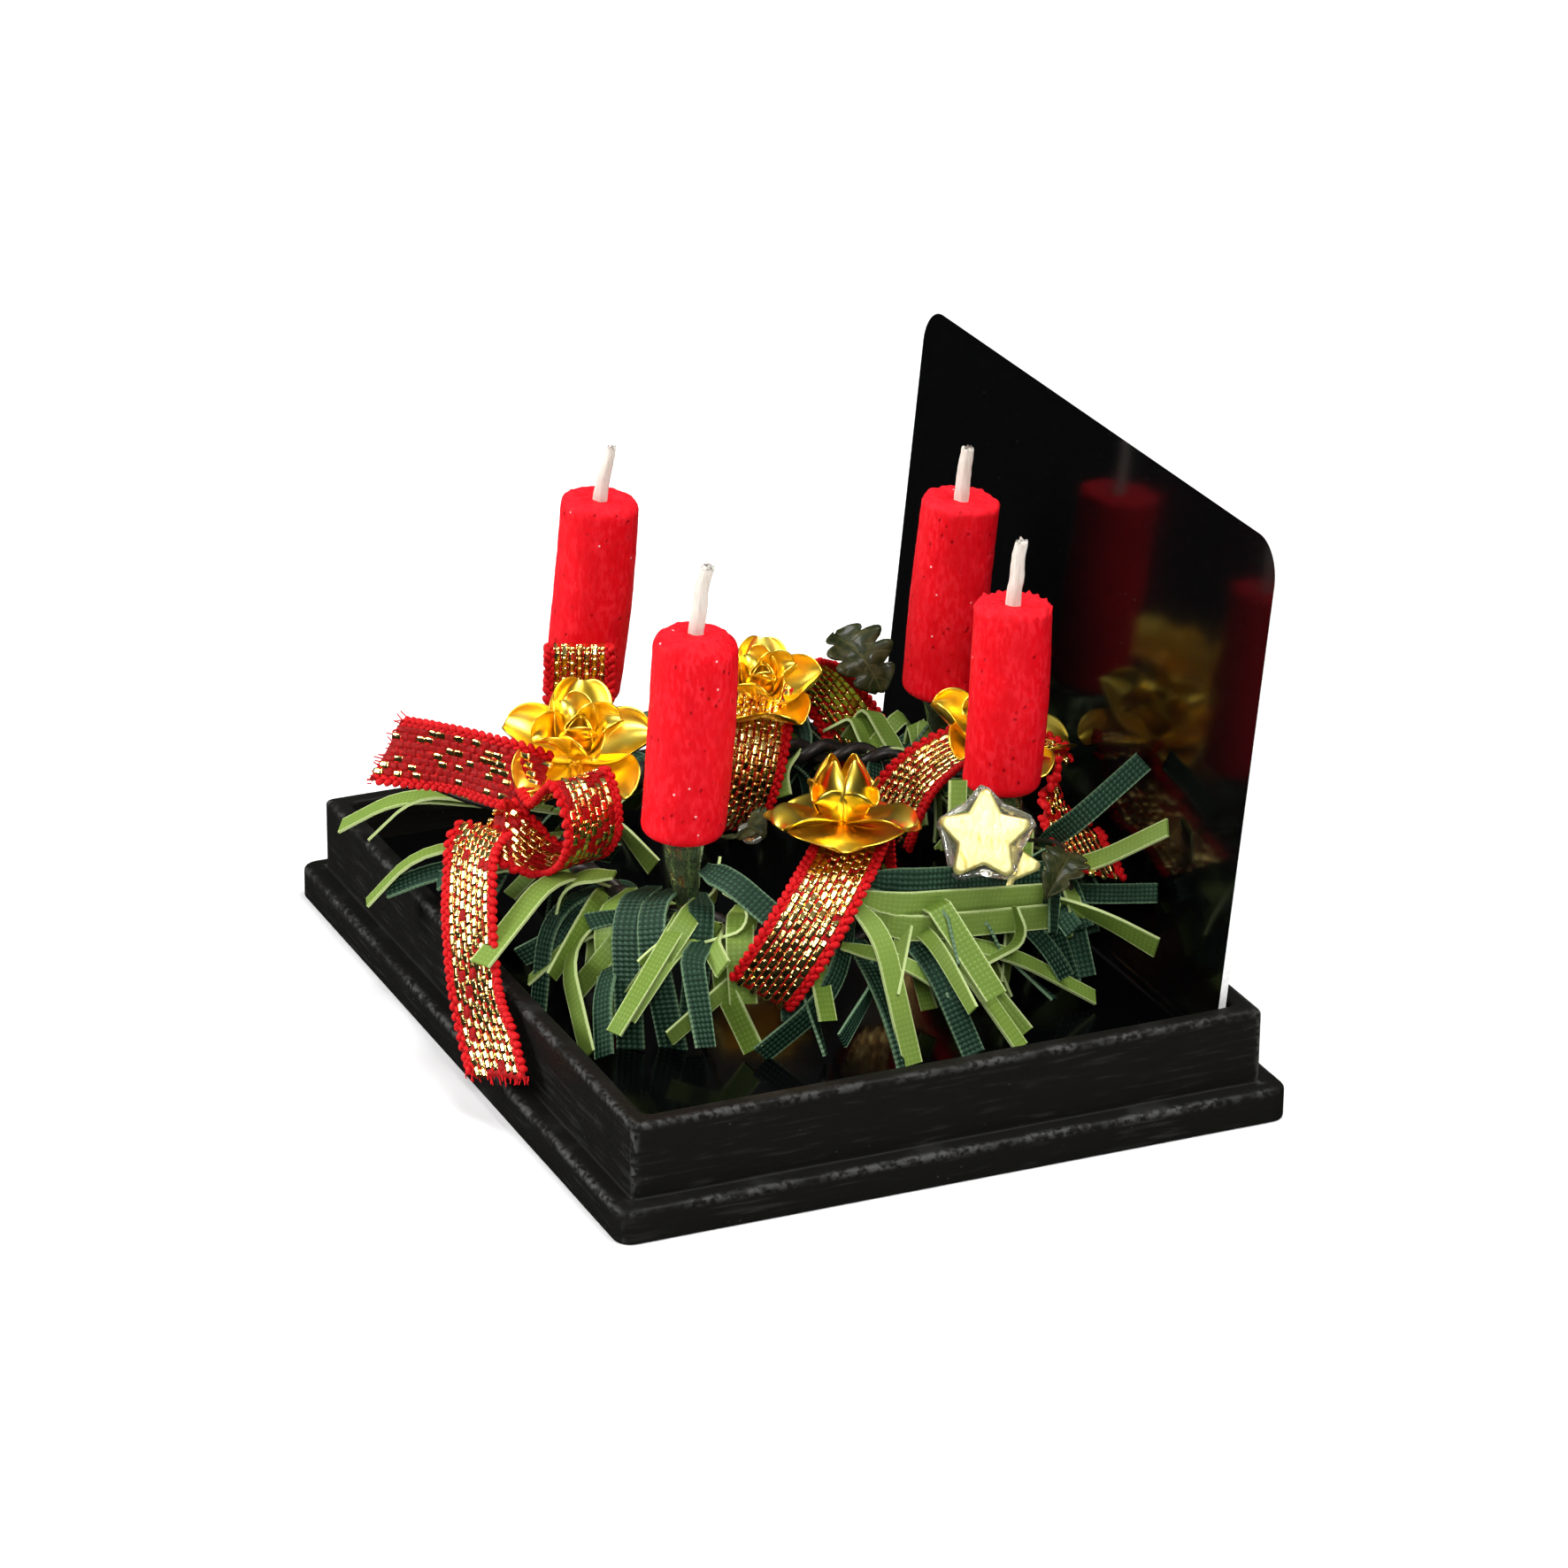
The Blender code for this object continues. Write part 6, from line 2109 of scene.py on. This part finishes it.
@dataclass
class GlueSeats:
    """The beads of hot glue that hold the candles on the core."""

    ring: Ring
    radius: float = 0.85 * MM
    # painted see-through colour: the clear seat glue is tinted dark green to stand for the dark green seen through it
    colour: Colour = (0.30, 0.40, 0.20)

    def build(self) -> None:
        """Make and dress a drooping bead under each candle."""
        for candle in CANDLES:
            foot = Vector(candle.foot) * MM
            core = self.ring.point(self.ring.angle_of(foot))
            low, high = core + UP * 0.4 * MM, foot + UP * 0.05 * MM
            rings = []
            for row in range(15):
                part = row / 14
                middle = low.lerp(high, part)
                out = self.radius * (0.45 + 0.62 * part ** 0.7) * (1.0 if 0 < row < 14 else 0.8)
                rings.append([
                    middle + Vector((math.cos(turn), math.sin(turn), 0.0)) * out
                    * (1.0 + 0.16 * lumps(middle + Vector((math.cos(turn), math.sin(turn), 0.0)) * MM, MM, part))
                    for turn in np.linspace(0.0, 2 * math.pi, 28, endpoint=False)
                ])
            name = f"candle_glue_{candle.number}"
            item = add_piece(name, loft(name, np.array(rings)), ClearGlue("seat_glue", self.colour))
            dress(item, Slot.GLUE, f"glue_seat_{candle.number}")


@dataclass
class Studio:
    """The floor, the soft lights, the surroundings and the camera."""

    camera_place: Triple = (0.2301, -0.10195, 0.1170)
    camera_right: Triple = (0.4030, 0.9151, 0.0083)
    camera_up: Triple = (-0.3587, 0.1496, 0.9214)
    camera_back: Triple = (0.8420, -0.3743, 0.3886)
    lens: float = 138.253
    floor_size: float = 6.0
    sky: float = 0.18

    def add_floor(self) -> None:
        """Lay the plain pale floor. Gloss doesn't mirror it."""
        half = self.floor_size / 2
        corners = [(-half, -half, 0.0), (half, -half, 0.0), (half, half, 0.0), (-half, half, 0.0)]
        floor = add_piece("floor", make_mesh("floor", corners, [(0, 1, 2, 3)]), PaleFloor("pale_floor"))
        floor.visible_glossy = False

    def add_softbox(self, name: str, place: Triple, size: float, power: float) -> None:
        """Hang a square soft light that faces the wreath."""
        light = bpy.data.lights.new(name, "AREA")
        light.size = size
        light.energy = power
        item = bpy.data.objects.new(name, light)
        item.location = place
        aim = Vector(place) - Vector((0.0, 0.0, 0.010))
        item.rotation_mode = "QUATERNION"
        item.rotation_quaternion = aim.to_track_quat("Z", "Y")
        bpy.context.scene.collection.objects.link(item)

    def add_world(self) -> None:
        """Surround the scene with light that is even above and dark below the horizon."""
        world = bpy.data.worlds.new("surroundings")
        world.use_nodes = True
        graph = Graph(world.node_tree)
        direction = graph.signal("ShaderNodeTexCoord", output="Generated")
        split = graph.node("ShaderNodeSeparateXYZ", {}, {0: direction})
        strength = Signal(graph, split.outputs["Z"]).rise(0.35, 0.75) * self.sky + 0.02
        background = world.node_tree.nodes["Background"]
        background.inputs["Color"].default_value = (1.0, 1.0, 1.0, 1.0)
        world.node_tree.links.new(strength.socket, background.inputs["Strength"])
        bpy.context.scene.world = world

    def add_camera(self) -> None:
        """Place the camera where the photograph was taken from."""
        data = bpy.data.cameras.new("camera")
        data.lens = self.lens
        data.sensor_width = 36.0
        data.clip_start = 0.01
        data.clip_end = 20.0
        camera = bpy.data.objects.new("camera", data)
        turn = Matrix((self.camera_right, self.camera_up, self.camera_back)).transposed()
        camera.matrix_world = Matrix.Translation(self.camera_place) @ turn.normalized().to_4x4()
        bpy.context.scene.collection.objects.link(camera)
        bpy.context.scene.camera = camera

    def build(self) -> None:
        """Set up the studio."""
        self.add_camera()
        self.add_floor()
        self.add_softbox("key", (-0.26, -0.48, 0.27), 0.28, 3.9)
        self.add_softbox("front", (0.44, -0.20, 0.30), 0.12, 1.5)
        self.add_softbox("top", (0.12, 0.14, 0.56), 0.34, 3.8)
        self.add_world()
        bpy.context.scene.view_settings.view_transform = "Standard"


def fill_keepout(ring: Ring, strips: Iterable[RibbonStrip]) -> Keepout:
    """Return the space of every piece that the garland's strips bend clear of."""
    keepout = Keepout()
    for candle in CANDLES:
        foot, along, _, _, height = candle.axes()
        radius = candle.radius * MM
        keepout.add_rod(foot + along * radius * 0.6, foot + along * height, radius)
        core = ring.point(ring.angle_of(foot))
        keepout.add_rod(core + UP * 1.5 * MM, foot, 0.8 * MM)
    for rose in ROSES:
        middle = Vector(rose.place) * MM + UP * rose.height * MM / 2
        reach = rose.radius * 0.92 * MM
        keepout.add_box(middle, (reach, reach, rose.height * MM / 2))
    for strip in strips:
        keepout.add_ribbon(strip)
    stars = Stars()
    front = Vector(stars.place) * MM
    facing = Vector(stars.facing).normalized()
    keepout.add_rod(front, front - facing * 2.2 * MM + Vector(stars.drop) * MM, stars.radius * 0.95)
    keepout.add_rod(front, front + facing * 3.0 * MM, stars.radius * 1.05)
    for sprig in HOLLY:
        keepout.add_rod(Vector(sprig.root) * MM, Vector(sprig.tip) * MM, sprig.half_width * MM * 0.9)
    return keepout


def main() -> None:
    """Build every part of the wreath and the studio round it."""
    logging.basicConfig(level=logging.INFO, format="%(name)s: %(message)s")
    ring, card = Ring(), Card()
    Studio().build()
    Tray().build()
    card.build()
    for candle in CANDLES:
        candle.build()
    GlueSeats(ring).build()
    weave = RibbonWeave()
    bow, bands = Bow().strips(), Bands(ring, card).strips()
    weave.weave(bow, "bow_ribbon", "bow")
    for number, band in enumerate(bands, start=1):
        weave.weave([band], f"band_{number}", f"ribbon_band_{number}")
    for rose in ROSES:
        rose.build()
    Stars().build()
    for sprig in HOLLY:
        sprig.build()
    WireWork(ring, weave).build()
    Garland(ring, card, fill_keepout(ring, [*bow, *bands])).build()


if __name__ == "__main__":
    main()
